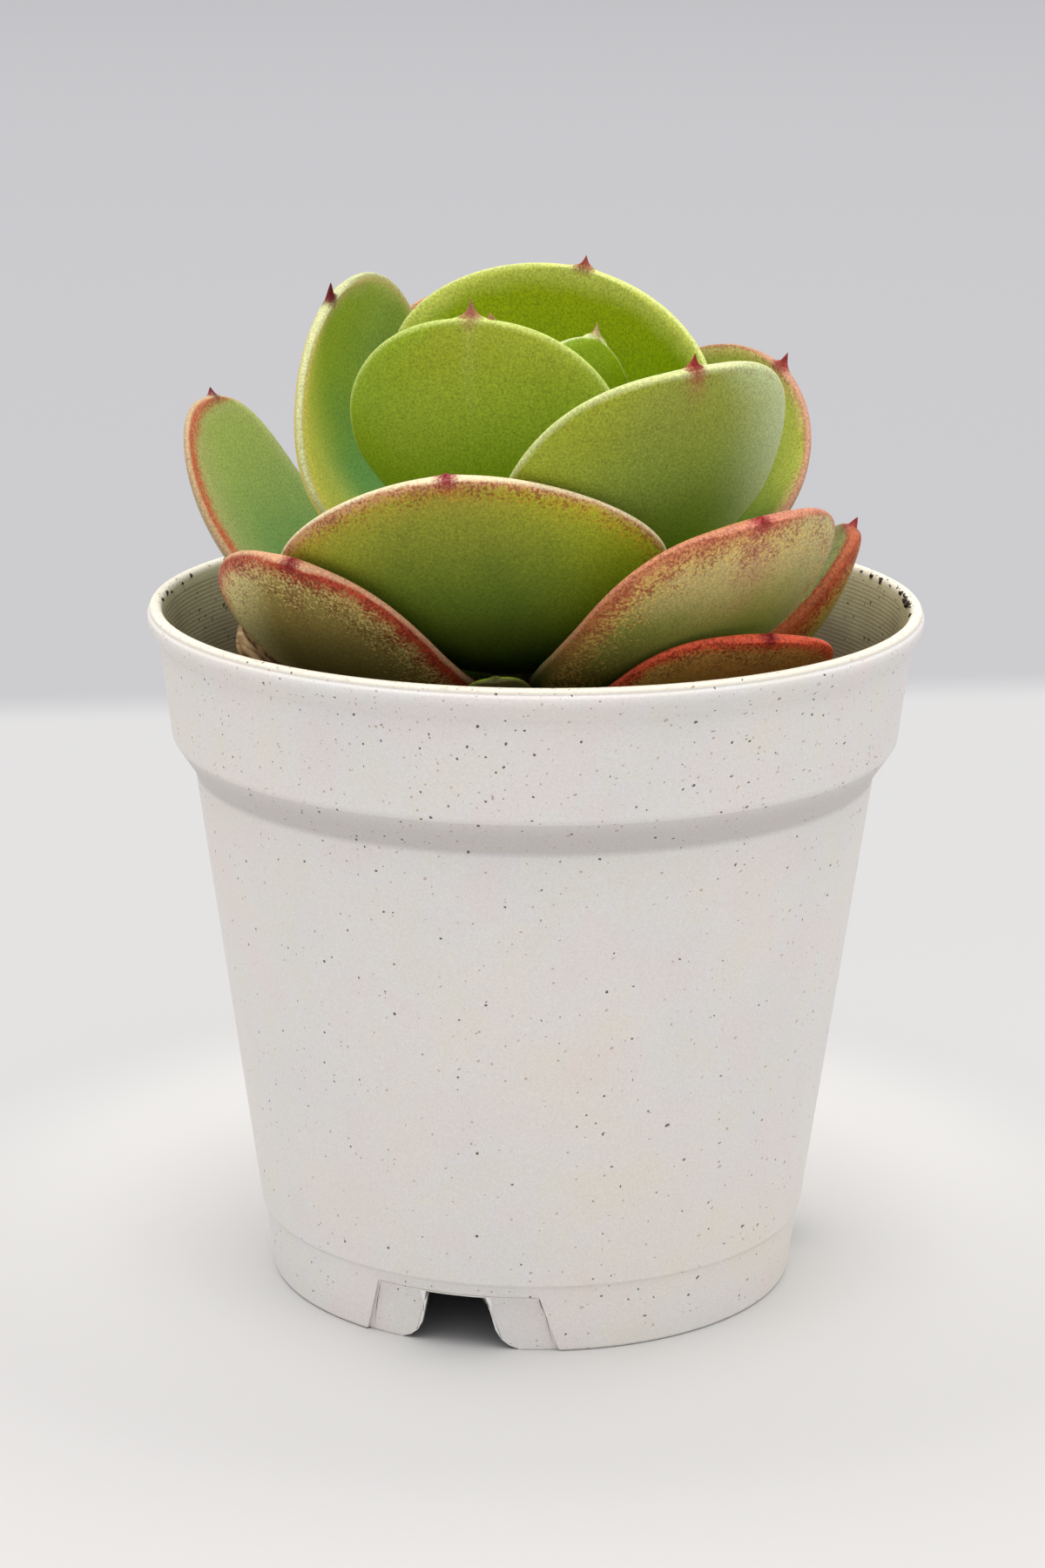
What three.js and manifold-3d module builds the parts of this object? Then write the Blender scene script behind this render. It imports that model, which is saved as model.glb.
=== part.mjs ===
// A rosette succulent in a small tapered nursery pot: pot, potting soil, stem and fleshy leaves.
// Millimetres, +Z up. The origin is the centre of the pot's foot ring, on the ground, and the
// side seen from the front is -Y. Azimuths are degrees counter-clockwise from +X, seen from above.
import * as THREE from 'three';
import { mergeVertices } from 'three/addons/utils/BufferGeometryUtils.js';
import Module from 'manifold-3d';

const wasm = await Module();
wasm.setup();

// Pot: driving dimensions
const POT_HEIGHT = 49.45;
const RIM_RADIUS = 27.5; // outside of the rolled lip
const FOOT_RADIUS = 18.95; // outside of the foot ring on the ground
const COLLAR_FOOT_HEIGHT = 38; // where the straight body ends and the collar's step begins
const WALL = 0.9;
const FOOT_BAND_HEIGHT = 5.1; // the foot band is set back a little under a faint step line
const FOOT_BAND_RADIUS = 19.63; // outside of the foot band just under that line
const FLOOR_UNDERSIDE = 4.4;
const FLOOR_TOP = 5.3;
const FOOT_CHAMFER = 0.55; // the foot ring is this much thicker at the floor than on the ground
const POT_SIDES = 64;

// Drain notches in the foot ring, each in a slightly sunken panel
const NOTCH_AZIMUTHS = [-105.6, 14.4, 134.4];
const NOTCH_TOP = 4.05;
const NOTCH_TOP_WIDTH = 4.1;
const NOTCH_FOOT_WIDTH = 8.6;
const NOTCH_CORNER = { height: 2.3, spread: 0.4, pullAcross: 0.65, pullUp: 0.35 }; // flare to the ground
const PANEL_TOP = 4.2;
const PANEL_FOLD = 3; // above this line the sunken panel slopes back out to the wall
const PANEL_DEPTH = 0.35;
const PANEL_TOP_WIDTH = 11.6;
const PANEL_FOOT_WIDTH = 14;
const DRAIN_SLOT = { from: 15, reach: 3.2, width: 4.1 }; // hole through the floor behind each notch
const CUTTER = { from: 15, reach: 10 }; // the cutters run from inside the foot ring to outside it

// Soil and stem
const GAP = 0.3; // clearance between pieces that touch
const SOIL_CENTRE = 40.1; // soil height beside the stem
const SOIL_WALL = 42.5; // soil height at the pot's wall
const SOIL_RADIUS = 25;
const SOIL_LUMPS = 0.35;
const SOIL_HOLE_CLEARANCE = 0.35;
const SOIL_SIDES = 44;
const STEM_FOOT = 31;
const STEM_TOP = 59.6;
const STEM_RADIUS = 3.2; // where it leaves the soil
const STEM_RADIUS_HEIGHT = 42;
const STEM_TAPER = 0.06; // radius lost per millimetre of height
const STEM_TAPER_HEIGHT = 54; // the stem narrows quickly to its growing tip above this
const STEM_TIP_TAPER = 0.24;
const STEM_END_ROUND = { foot: 0.8, top: 0.3 }; // radius lost at the rounded ends
const STEM_SIDES = 12;

// Leaves share one outline: a narrow root, widest past the middle, a broad rounded end, a spine
const EDGE_THICKNESS = 0.66;
const WIDEST_AT = 0.6; // share of the length
const ROOT_SPREAD = 0.9; // how fast the blade widens from its root
const INNER_FULLNESS = 0.3; // share of the flesh on the leaf's inner face
const FULLEST_AT = 0.35; // share of the length where the flesh is thickest
const ROOT_LOSS = 0.25; // share of the flesh lost towards the root
const TIP_LOSS = 0.55; // and towards the tip
const ROOT_CURL = 0.45; // cup's radius at the root, as a share of the blade's
const CURL_EASES_BY = 0.5; // share of the length where the cup has its full radius
const NECK_HALF = 1.5; // the blade's rounded end runs into a spine no wider than this
const SPINE_SECTIONS = [ // share of the spine's length, half width, half thickness
  { at: 0.25, half: 0.55, thickness: 0.34 },
  { at: 0.65, half: 0.25, thickness: 0.2 },
];
const SECOND_SPINE = { at: 0.985, radius: 0.42, length: 1.1 }; // at: share of the way round the end

const rad = THREE.MathUtils.degToRad;
const up = new THREE.Vector3(0, 0, 1);

function stemRadius(height) {
  const tip = Math.max(0, height - STEM_TAPER_HEIGHT);
  return STEM_RADIUS - (height - STEM_RADIUS_HEIGHT) * STEM_TAPER - tip * STEM_TIP_TAPER;
}

// ---- solids and meshes ----

function meshGeometry(points, triangles) {
  const geometry = new THREE.BufferGeometry();
  const position = points.flatMap((point) => [point.x, point.y, point.z]);
  geometry.setAttribute('position', new THREE.Float32BufferAttribute(position, 3));
  geometry.setIndex(triangles);
  return geometry;
}

function toSolid(geometry) {
  geometry.deleteAttribute('normal');
  geometry.deleteAttribute('uv');
  const merged = mergeVertices(geometry, 1e-4);
  return new wasm.Manifold(new wasm.Mesh({
    numProp: 3,
    vertProperties: new Float32Array(merged.attributes.position.array),
    triVerts: new Uint32Array(merged.index.array),
  }));
}

function toGeometry(solid) {
  const { vertProperties, triVerts } = solid.getMesh();
  const geometry = new THREE.BufferGeometry();
  geometry.setAttribute('position', new THREE.BufferAttribute(new Float32Array(vertProperties), 3));
  geometry.setIndex(new THREE.BufferAttribute(new Uint32Array(triVerts), 1));
  return geometry;
}

// Skins a stack of rings with equal point counts and closes both ends with a fan.
function skin(rings, firstPole, lastPole) {
  const count = rings[0].length;
  const points = [...rings.flat(), firstPole, lastPole];
  const first = points.length - 2;
  const last = points.length - 1;
  const top = (rings.length - 1) * count;
  const triangles = [];
  for (let ring = 0; ring < rings.length - 1; ring++) {
    for (let side = 0; side < count; side++) {
      const a = ring * count + side;
      const b = ring * count + ((side + 1) % count);
      triangles.push(a, b, b + count, a, b + count, a + count);
    }
  }
  for (let side = 0; side < count; side++) {
    const next = (side + 1) % count;
    triangles.push(first, next, side, last, top + side, top + next);
  }
  return meshGeometry(points, triangles);
}

function latheSolid(profile, sides) {
  const lathe = new THREE.LatheGeometry(profile.map(([r, z]) => new THREE.Vector2(r, z)), sides);
  lathe.rotateX(Math.PI / 2);
  return toSolid(lathe);
}

// ---- pot ----

const POT_OUTER = [
  [FOOT_RADIUS, 0],
  [FOOT_BAND_RADIUS, FOOT_BAND_HEIGHT - 0.1],
  [19.8, FOOT_BAND_HEIGHT + 0.05],
  [24.1, 36.4],
  [24.3, COLLAR_FOOT_HEIGHT],
  [25.7, 39.75],
  [25.88, 40.3],
  [26.72, 47.2],
  [27.25, 48],
  [RIM_RADIUS, 48.45],
  [RIM_RADIUS, 48.9],
  [27.25, POT_HEIGHT - 0.1],
  [26.9, POT_HEIGHT],
];
const POT_INNER = [
  [26.62, 49.25],
  [26.36, 48.7],
  [26.12, 47.2],
  [25.05, 40.3],
  [24.75, 39.4],
  [23.4, COLLAR_FOOT_HEIGHT],
  [23.15, 36.4],
  [18.95, FLOOR_TOP + 0.5],
  [18.55, FLOOR_TOP],
];

// A straight tool that cuts through the pot's wall along the azimuth, drawn in (across, height).
function radialCutter(shape, azimuth, { from, reach }) {
  const cutter = new THREE.ExtrudeGeometry(shape, { depth: reach, bevelEnabled: false, curveSegments: 5 });
  cutter.rotateX(Math.PI / 2); // height to +Z, depth to -Y
  cutter.translate(0, -from, 0);
  cutter.rotateZ(rad(azimuth + 90));
  return toSolid(cutter);
}

function notchShape() {
  const half = NOTCH_TOP_WIDTH / 2;
  const foot = NOTCH_FOOT_WIDTH / 2;
  const side = half + NOTCH_CORNER.spread;
  const pull = half + NOTCH_CORNER.pullAcross;
  const shape = new THREE.Shape();
  shape.moveTo(-half, NOTCH_TOP);
  shape.lineTo(-side, NOTCH_CORNER.height);
  shape.quadraticCurveTo(-pull, NOTCH_CORNER.pullUp, -foot, 0);
  shape.lineTo(-foot, -1);
  shape.lineTo(foot, -1);
  shape.lineTo(foot, 0);
  shape.quadraticCurveTo(pull, NOTCH_CORNER.pullUp, side, NOTCH_CORNER.height);
  shape.lineTo(half, NOTCH_TOP);
  return shape;
}

function panelShape() {
  const top = PANEL_TOP_WIDTH / 2;
  const foot = PANEL_FOOT_WIDTH / 2;
  return new THREE.Shape([
    new THREE.Vector2(-foot, -1),
    new THREE.Vector2(foot, -1),
    new THREE.Vector2(top, PANEL_TOP + 0.5),
    new THREE.Vector2(-top, PANEL_TOP + 0.5),
  ]);
}

// Ring of wall that the sunken panels take away, with the sloping fold along its top.
function panelRing() {
  const foot = FOOT_RADIUS - PANEL_DEPTH;
  const slope = (FOOT_BAND_RADIUS - FOOT_RADIUS) / FOOT_BAND_HEIGHT;
  return latheSolid([
    [foot - slope, -1],
    [RIM_RADIUS, -1],
    [RIM_RADIUS, PANEL_TOP],
    [FOOT_RADIUS + slope * PANEL_TOP, PANEL_TOP],
    [foot + slope * PANEL_FOLD, PANEL_FOLD],
    [foot - slope, -1],
  ], POT_SIDES);
}

function slotShape() {
  const half = DRAIN_SLOT.width / 2;
  return new THREE.Shape([
    new THREE.Vector2(-half, FLOOR_UNDERSIDE - 0.5),
    new THREE.Vector2(half, FLOOR_UNDERSIDE - 0.5),
    new THREE.Vector2(half, FLOOR_TOP + 0.5),
    new THREE.Vector2(-half, FLOOR_TOP + 0.5),
  ]);
}

function potGeometry() {
  const profile = [
    [0, FLOOR_UNDERSIDE],
    [FOOT_RADIUS - WALL + FOOT_CHAMFER, FLOOR_UNDERSIDE],
    [FOOT_RADIUS - WALL, 0],
    ...POT_OUTER,
    ...POT_INNER,
    [0, FLOOR_TOP],
  ];
  let pot = latheSolid(profile, POT_SIDES);
  const ring = panelRing();
  for (const azimuth of NOTCH_AZIMUTHS) {
    const panel = radialCutter(panelShape(), azimuth, CUTTER).intersect(ring);
    const notch = radialCutter(notchShape(), azimuth, CUTTER);
    const slot = radialCutter(slotShape(), azimuth, DRAIN_SLOT);
    pot = pot.subtract(panel).subtract(notch).subtract(slot);
  }
  return toGeometry(pot);
}

// ---- soil and stem ----

function soilHeight(x, y) {
  const reach = Math.hypot(x, y) / SOIL_RADIUS;
  const lumps = Math.sin(1.1 * x + 0.4) * Math.cos(0.9 * y - 0.7) + 0.6 * Math.sin(2.3 * x - 1.7 * y);
  return SOIL_CENTRE + (SOIL_WALL - SOIL_CENTRE) * reach ** 2 + SOIL_LUMPS * lumps * Math.min(1, reach * 2);
}

const SOIL_BED = [ // outline of the soil inside the pot, below its surface
  [18.2, FLOOR_TOP + GAP],
  [23, COLLAR_FOOT_HEIGHT + 0.2],
  [24.35, 39.6],
  [24.7, 40.5],
];
const SOIL_SURFACE = [24.8, 22.5, 20, 17, 14, 11, 8, 5.5]; // radii of the rings of the surface

function soilGeometry() {
  const hole = stemRadius(SOIL_CENTRE) + SOIL_HOLE_CLEARANCE;
  const holeFoot = stemRadius(STEM_FOOT) + SOIL_HOLE_CLEARANCE;
  const circle = (radius, heightAt) => Array.from({ length: SOIL_SIDES }, (_, side) => {
    const angle = (side / SOIL_SIDES) * 2 * Math.PI;
    const [x, y] = [radius * Math.cos(angle), radius * Math.sin(angle)];
    return new THREE.Vector3(x, y, heightAt(x, y));
  });
  const rings = [
    ...SOIL_BED.map(([radius, height]) => circle(radius, () => height)),
    ...SOIL_SURFACE.map((radius) => circle(radius, soilHeight)),
    circle(hole, () => SOIL_CENTRE - GAP),
    circle(holeFoot, () => STEM_FOOT - GAP),
  ];
  const under = new THREE.Vector3(0, 0, FLOOR_TOP + GAP);
  return skin(rings, under, new THREE.Vector3(0, 0, STEM_FOOT - GAP));
}

const STEM_SECTIONS = [STEM_FOOT + 1, 36, 42, 48, STEM_TAPER_HEIGHT, 59]; // heights

function stemGeometry() {
  const profile = [
    [0, STEM_FOOT],
    [stemRadius(STEM_FOOT) - STEM_END_ROUND.foot, STEM_FOOT],
    ...STEM_SECTIONS.map((height) => [stemRadius(height), height]),
    [stemRadius(STEM_TOP) - STEM_END_ROUND.top, STEM_TOP - 0.2],
    [0, STEM_TOP],
  ];
  return toGeometry(latheSolid(profile, STEM_SIDES));
}

// ---- leaves ----

// Half the blade's width at a share u of its length: a sine from the root, then a squared round end.
function halfWidth(leaf, u) {
  if (u < WIDEST_AT) {
    const spread = Math.sin((u / WIDEST_AT) * (Math.PI / 2)) ** ROOT_SPREAD;
    return (leaf.width / 2) * (leaf.rootShare + (1 - leaf.rootShare) * spread);
  }
  return (leaf.width / 2) * endRound(leaf, u);
}

function endRound(leaf, u) {
  const v = (u - WIDEST_AT) / (1 - WIDEST_AT);
  return Math.max(0, 1 - v ** leaf.square) ** (1 / leaf.square);
}

// Thickness that the flesh adds to the margin's along the middle line.
function fullness(leaf, u) {
  const rise = 1 - ROOT_LOSS * (1 - u / FULLEST_AT) ** 2;
  const fall = 1 - TIP_LOSS * Math.max(0, (u - FULLEST_AT) / (1 - FULLEST_AT)) ** 1.5;
  const end = u < WIDEST_AT ? 1 : endRound(leaf, u) ** 0.6;
  return (leaf.thickness * (u < FULLEST_AT ? rise : fall) - EDGE_THICKNESS) * end;
}

// Distance of the middle line's root from the stem's axis, so that the cut root end just clears
// the stem whichever way the blade leaves it.
function rootReach(leaf) {
  const rise = leaf.height - leaf.rise;
  const run = leaf.reach - stemRadius(leaf.rise);
  const slope = Math.atan2(rise, run) - Math.atan2(2 * leaf.bow, Math.hypot(rise, run));
  const share = slope > 0 ? INNER_FULLNESS : 1 - INNER_FULLNESS;
  const half = EDGE_THICKNESS / 2 + share * fullness(leaf, 0);
  return stemRadius(leaf.rise) + GAP + Math.abs(half * Math.sin(slope));
}

// Root, bend and tip of the blade's middle line, in the upright plane through the stem's axis.
function middleLine(leaf) {
  const out = new THREE.Vector3(Math.cos(rad(leaf.azimuth)), Math.sin(rad(leaf.azimuth)), 0);
  const across = new THREE.Vector3(-out.y, out.x, 0);
  const root = out.clone().multiplyScalar(rootReach(leaf)).addScaledVector(up, leaf.rise);
  const tip = out.clone().multiplyScalar(leaf.reach).addScaledVector(up, leaf.height);
  const chord = tip.clone().sub(root).normalize();
  const outward = chord.clone().cross(across).negate();
  const bend = root.clone().add(tip).multiplyScalar(0.5).addScaledVector(outward, leaf.bow);
  return { root, bend, tip, across };
}

// Place and directions on the middle line: along the blade, across it and out of its inner face.
function bladeFrame(leaf, line, u) {
  const place = line.root.clone().multiplyScalar((1 - u) ** 2)
    .addScaledVector(line.bend, 2 * u * (1 - u))
    .addScaledVector(line.tip, u ** 2)
    .addScaledVector(line.across, leaf.sweep * u ** 2);
  const along = line.bend.clone().sub(line.root).multiplyScalar(2 * (1 - u))
    .addScaledVector(line.tip.clone().sub(line.bend), 2 * u)
    .addScaledVector(line.across, 2 * leaf.sweep * u)
    .normalize();
  const across = line.across.clone().addScaledVector(along, -along.dot(line.across)).normalize();
  const inner = along.clone().cross(across);
  const turn = rad(leaf.twist) * u;
  return {
    place,
    along,
    across: across.clone().multiplyScalar(Math.cos(turn)).addScaledVector(inner, Math.sin(turn)),
    inner: inner.clone().multiplyScalar(Math.cos(turn)).addScaledVector(across, -Math.sin(turn)),
  };
}

const ACROSS_STEPS = 6;
const acrossShares = Array.from({ length: ACROSS_STEPS + 1 }, (_, step) => (
  Math.sin(((step / ACROSS_STEPS) * 2 - 1) * (Math.PI / 2))));

// One closed section of the blade, bent to the cup's radius: inner face, then outer face back.
function bladeRing(leaf, line, u) {
  const frame = bladeFrame(leaf, line, u);
  const curl = ROOT_CURL + (1 - ROOT_CURL) * Math.min(1, u / CURL_EASES_BY);
  const radius = (leaf.width / rad(leaf.cup)) * curl;
  const half = halfWidth(leaf, u);
  const flesh = fullness(leaf, u);
  const point = (share, side) => {
    const swell = flesh * (1 - Math.abs(share) ** 2.4) ** 0.7;
    const part = side > 0 ? INNER_FULLNESS : 1 - INNER_FULLNESS;
    const offset = side * (EDGE_THICKNESS / 2 + part * swell);
    const angle = (share * half) / radius;
    return frame.place.clone()
      .addScaledVector(frame.across, Math.sin(angle) * (radius - offset))
      .addScaledVector(frame.inner, radius - (radius - offset) * Math.cos(angle));
  };
  const inner = acrossShares.map((share) => point(share, 1));
  const outer = acrossShares.map((share) => point(share, -1)).reverse();
  return [...inner, ...outer];
}

// A small flattened section of the spine that ends the leaf.
function spineRing(frame, distance, half, thickness) {
  const centre = frame.place.clone().addScaledVector(frame.along, distance);
  const point = (share, side) => centre.clone()
    .addScaledVector(frame.across, share * half)
    .addScaledVector(frame.inner, side * thickness * (0.3 + 0.6 * Math.sqrt(1 - share ** 2)));
  const inner = acrossShares.map((share) => point(share, 1));
  const outer = acrossShares.map((share) => point(share, -1)).reverse();
  return [...inner, ...outer];
}

// Sections of the blade: even up to the widest place, then closer and closer round the end.
const BLADE_SECTIONS = [
  ...[0, 0.2, 0.4, 0.6, 0.8, 1].map((step) => step * WIDEST_AT),
  ...[0.3, 0.58, 0.8, 0.93, 0.978].map((step) => WIDEST_AT + (1 - WIDEST_AT) * step),
];

function leafRings(leaf, line) {
  const rings = BLADE_SECTIONS.map((u) => bladeRing(leaf, line, u));
  const end = bladeFrame(leaf, line, 1);
  const neck = Math.min(NECK_HALF, 0.55 * halfWidth(leaf, BLADE_SECTIONS.at(-1)));
  rings.push(spineRing(end, -0.06, neck, 0.38));
  for (const { at, half, thickness } of SPINE_SECTIONS) {
    rings.push(spineRing(end, at * leaf.spine, half, thickness));
  }
  return { rings, tip: end.place.clone().addScaledVector(end.along, leaf.spine) };
}

function centreOf(points) {
  return points.reduce((sum, point) => sum.add(point), new THREE.Vector3()).divideScalar(points.length);
}

// A second, smaller spine on the margin, a little to the side of the first one.
function secondSpine(leaf, line) {
  const u = WIDEST_AT + (1 - WIDEST_AT) * SECOND_SPINE.at;
  const frame = bladeFrame(leaf, line, u);
  const radius = leaf.width / rad(leaf.cup);
  const angle = leaf.secondSpine / radius;
  const cone = new THREE.ConeGeometry(SECOND_SPINE.radius, SECOND_SPINE.length, 8);
  const turn = new THREE.Quaternion().setFromUnitVectors(new THREE.Vector3(0, 1, 0), frame.along);
  cone.applyQuaternion(turn);
  const place = frame.place.clone()
    .addScaledVector(frame.across, Math.sin(angle) * radius)
    .addScaledVector(frame.inner, radius - radius * Math.cos(angle));
  cone.translate(place.x, place.y, place.z);
  return toSolid(cone);
}

function leafGeometry(leaf) {
  const line = middleLine(leaf);
  const { rings, tip } = leafRings(leaf, line);
  rings.forEach((ring) => ring.reverse());
  const blade = skin(rings, centreOf(rings[0]), tip);
  return leaf.secondSpine ? toGeometry(toSolid(blade).add(secondSpine(leaf, line))) : blade;
}

// Leaves from the heart outwards. rise is the root's height on the stem; reach and height place
// the tip; bow is how far the middle line bulges outwards; cup is the arc of the section in
// degrees; twist, sweep and square shape the end; rootShare is the root's share of the width.
const LEAVES = [
  { name: 'bud_1', azimuth: 134, rise: 59.4, reach: 0.5, height: 63.8, bow: 0.4, width: 2.6, cup: 80 },
  { name: 'bud_2', azimuth: -89, rise: 58.8, reach: 1.2, height: 64.6, bow: 0.6, width: 3.6, cup: 80 },
  { name: 'bud_3', azimuth: 49, rise: 58.2, reach: 2, height: 65.6, bow: 1, width: 5, cup: 80 },
  { name: 'bud_4', azimuth: 186, rise: 57.6, reach: 2.8, height: 66.8, bow: 1.4, width: 7, cup: 80 },
  {
    name: 'leaf_01', azimuth: -46.3, rise: 57.5, reach: 2.5, height: 68, bow: 2.8, width: 11, cup: 52,
    twist: -1.2, sweep: 3.2, square: 1.6, thickness: 1.7, spine: 1.3,
  },
  {
    name: 'leaf_02', azimuth: -109.5, rise: 52.7, reach: 12.6, height: 71.2, bow: 6.4, width: 20, cup: 55,
    twist: 7, sweep: -0.3, square: 2.2, thickness: 2.2, spine: 1.4, secondSpine: 1.35,
  },
  {
    name: 'leaf_03', azimuth: 75, rise: 53.6, reach: 7.9, height: 72, bow: 2.9, width: 26.5, cup: 73,
    twist: -13, sweep: -1.3, square: 2, thickness: 2.2, rootShare: 0.26, spine: 1,
  },
  {
    name: 'leaf_04', azimuth: -58.5, rise: 49.7, reach: 20.1, height: 68.8, bow: 7.2, width: 24.2, cup: 55,
    twist: 8, sweep: -0.3, square: 2.7, thickness: 2.4, spine: 1.1,
  },
  {
    name: 'leaf_05', azimuth: 153.5, rise: 49.2, reach: 13.7, height: 70.4, bow: 10, width: 28, cup: 35,
    twist: 13, sweep: 5.2, square: 2.2, thickness: 2.2, rootShare: 0.34, spine: 1.5,
  },
  {
    name: 'leaf_06', azimuth: 30, rise: 48.4, reach: 17.2, height: 65.5, bow: 6, width: 23.3, cup: 45,
    twist: 4, sweep: -4.9, square: 2, thickness: 2.4, rootShare: 0.26, spine: 1.2,
  },
  {
    name: 'leaf_07', azimuth: -104.5, rise: 46.9, reach: 22.4, height: 62.3, bow: 7.8, width: 27.2, cup: 48,
    twist: 12, sweep: -0.3, square: 1.9, thickness: 3.2, rootShare: 0.34, spine: 0.3,
  },
  {
    name: 'leaf_08', azimuth: 101.5, rise: 47, reach: 23.7, height: 68.4, bow: 8.6, width: 20.3, cup: 35,
    twist: -1, sweep: -0.4, square: 2.3, thickness: 2.4, rootShare: 0.22, spine: 1,
  },
  {
    name: 'leaf_09', azimuth: 172.1, rise: 46.1, reach: 23.9, height: 62.8, bow: 10.4, width: 19, cup: 19,
    twist: -10.6, sweep: -2.7, square: 2.5, thickness: 2.5, rootShare: 0.18, spine: 0.7,
  },
  {
    name: 'leaf_10', azimuth: -50.5, rise: 44.4, reach: 23.8, height: 59, bow: 7.4, width: 22.3, cup: 35,
    twist: 4, sweep: -0.4, square: 2.9, thickness: 2.6, spine: 0.3,
  },
  {
    name: 'leaf_11', azimuth: 53.5, rise: 45.2, reach: 21, height: 56.3, bow: 5.1, width: 19.8, cup: 36,
    thickness: 2.4, rootShare: 0.26, spine: 1,
  },
  {
    name: 'leaf_12', azimuth: -143.5, rise: 44.1, reach: 23.6, height: 55.8, bow: 7.9, width: 17.8, cup: 24,
    twist: 17, sweep: 4.6, square: 2.6, thickness: 2.8, spine: 0.3,
  },
  {
    name: 'leaf_13', azimuth: 16.5, rise: 43.5, reach: 23.5, height: 53.7, bow: 8.1, width: 12.2, cup: 44,
    twist: -9.8, sweep: -0.9, square: 2.5, thickness: 4, rootShare: 0.15, spine: 0.8,
  },
  {
    name: 'leaf_14', azimuth: 118, rise: 43, reach: 21.4, height: 54, bow: 5.4, width: 20, cup: 37,
    thickness: 2.4, rootShare: 0.26, spine: 0.8,
  },
  {
    name: 'leaf_15', azimuth: -44.5, rise: 41.5, reach: 22, height: 50.3, bow: 4.3, width: 18.9, cup: 14,
    twist: -11, sweep: 0.1, square: 2.9, thickness: 2, rootShare: 0.3, spine: 0.4,
  },
  {
    name: 'leaf_16', azimuth: -100.8, rise: 42.4, reach: 17.5, height: 47.7, bow: 3.1, width: 5.2, cup: 32,
    twist: 12, sweep: 0.6, square: 3, thickness: 1.4, spine: 0.3,
  },
  {
    name: 'dried_leaf', azimuth: -169.5, rise: 41.9, reach: 21, height: 48.2, bow: 5.3, width: 7.3, cup: 32,
    twist: -48, sweep: 0.1, square: 2.4, thickness: 1.4, rootShare: 0.4, spine: 0.2,
  },
];
const LEAF_DEFAULTS = { twist: 0, sweep: 0, square: 2.2, thickness: 1.2, rootShare: 0.3, spine: 0.5 };

// ---- the object ----

const FINISHES = {
  pot: { color: '#dcd9d4', roughness: 0.5 },
  soil: { color: '#4b3a2c', roughness: 1 },
  stem: { color: '#8a9a5b', roughness: 0.7 },
  bud: { color: '#a9cf5a', roughness: 0.55 },
  leaf: { color: '#7fae3f', roughness: 0.55 },
  dried: { color: '#8d7350', roughness: 0.9 },
};

function addMesh(name, geometry, finish) {
  const material = new THREE.MeshStandardMaterial({ ...FINISHES[finish], metalness: 0, flatShading: true });
  const mesh = new THREE.Mesh(geometry, material);
  mesh.name = name;
  group.add(mesh);
}

const group = new THREE.Group();
addMesh('pot', potGeometry(), 'pot');
addMesh('soil', soilGeometry(), 'soil');
addMesh('stem', stemGeometry(), 'stem');
for (const leaf of LEAVES) {
  addMesh(leaf.name, leafGeometry({ ...LEAF_DEFAULTS, ...leaf }), leaf.name.split('_')[0]);
}

export default group;
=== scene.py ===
import math
import random

import bpy
import numpy as np
from mathutils import Matrix, Vector, noise


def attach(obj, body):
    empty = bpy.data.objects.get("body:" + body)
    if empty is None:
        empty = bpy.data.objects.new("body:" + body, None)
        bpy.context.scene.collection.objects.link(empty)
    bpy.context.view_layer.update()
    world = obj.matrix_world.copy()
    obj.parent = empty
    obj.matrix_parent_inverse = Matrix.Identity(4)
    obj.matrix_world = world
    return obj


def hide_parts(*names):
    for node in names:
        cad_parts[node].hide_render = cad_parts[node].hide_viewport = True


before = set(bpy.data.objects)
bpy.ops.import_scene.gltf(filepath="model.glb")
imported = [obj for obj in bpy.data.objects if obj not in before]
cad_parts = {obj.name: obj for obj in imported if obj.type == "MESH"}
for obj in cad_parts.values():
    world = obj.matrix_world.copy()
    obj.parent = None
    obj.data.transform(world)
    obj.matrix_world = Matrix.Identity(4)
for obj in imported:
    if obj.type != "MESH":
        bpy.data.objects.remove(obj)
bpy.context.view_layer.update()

# A rosette succulent in a small nursery pot. Dictionaries are in millimetres and degrees.
mm = 0.001


def setMode(mode):
    bpy.ops.object.mode_set(mode=mode)


def deselectAll():
    if bpy.context.mode != "OBJECT":
        setMode("OBJECT")
    bpy.ops.object.select_all(action="DESELECT")


def chooseOnly(piece):
    deselectAll()
    piece.select_set(True)
    bpy.context.view_layer.objects.active = piece


# The active object becomes a named piece at the origin, with its place in its mesh.
def finishPiece(name, material, replaced):
    piece = bpy.context.object
    chooseOnly(piece)
    bpy.ops.object.transform_apply(location=True, rotation=True, scale=True)
    piece.name = piece.data.name = name
    piece.data.materials.clear()
    piece.data.materials.append(material)
    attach(piece, "root")
    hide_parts(replaced)
    return piece


# Draws the selected face on through (half width, half depth, height) stations.
def drawThrough(stations):
    for (width, depth, height), (nextWidth, nextDepth, nextHeight) in zip(stations, stations[1:]):
        rise = (0, 0, (nextHeight - height) * mm)
        bpy.ops.mesh.extrude_region_move(TRANSFORM_OT_translate={"value": rise})
        middle = sum((v.co for v in chosenVerts()), Vector()) / len(chosenVerts())
        bpy.ops.transform.resize(value=(nextWidth / width, nextDepth / depth, 1), center_override=middle)


def chosenVerts():
    bpy.context.object.update_from_editmode()
    return [v for v in bpy.context.object.data.vertices if v.select]


# Ends the edit of a closed mesh, all its normals outwards.
def closeEdit():
    bpy.ops.mesh.select_all(action="SELECT")
    bpy.ops.mesh.normals_make_consistent(inside=False)
    setMode("OBJECT")
    return bpy.context.object


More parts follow.
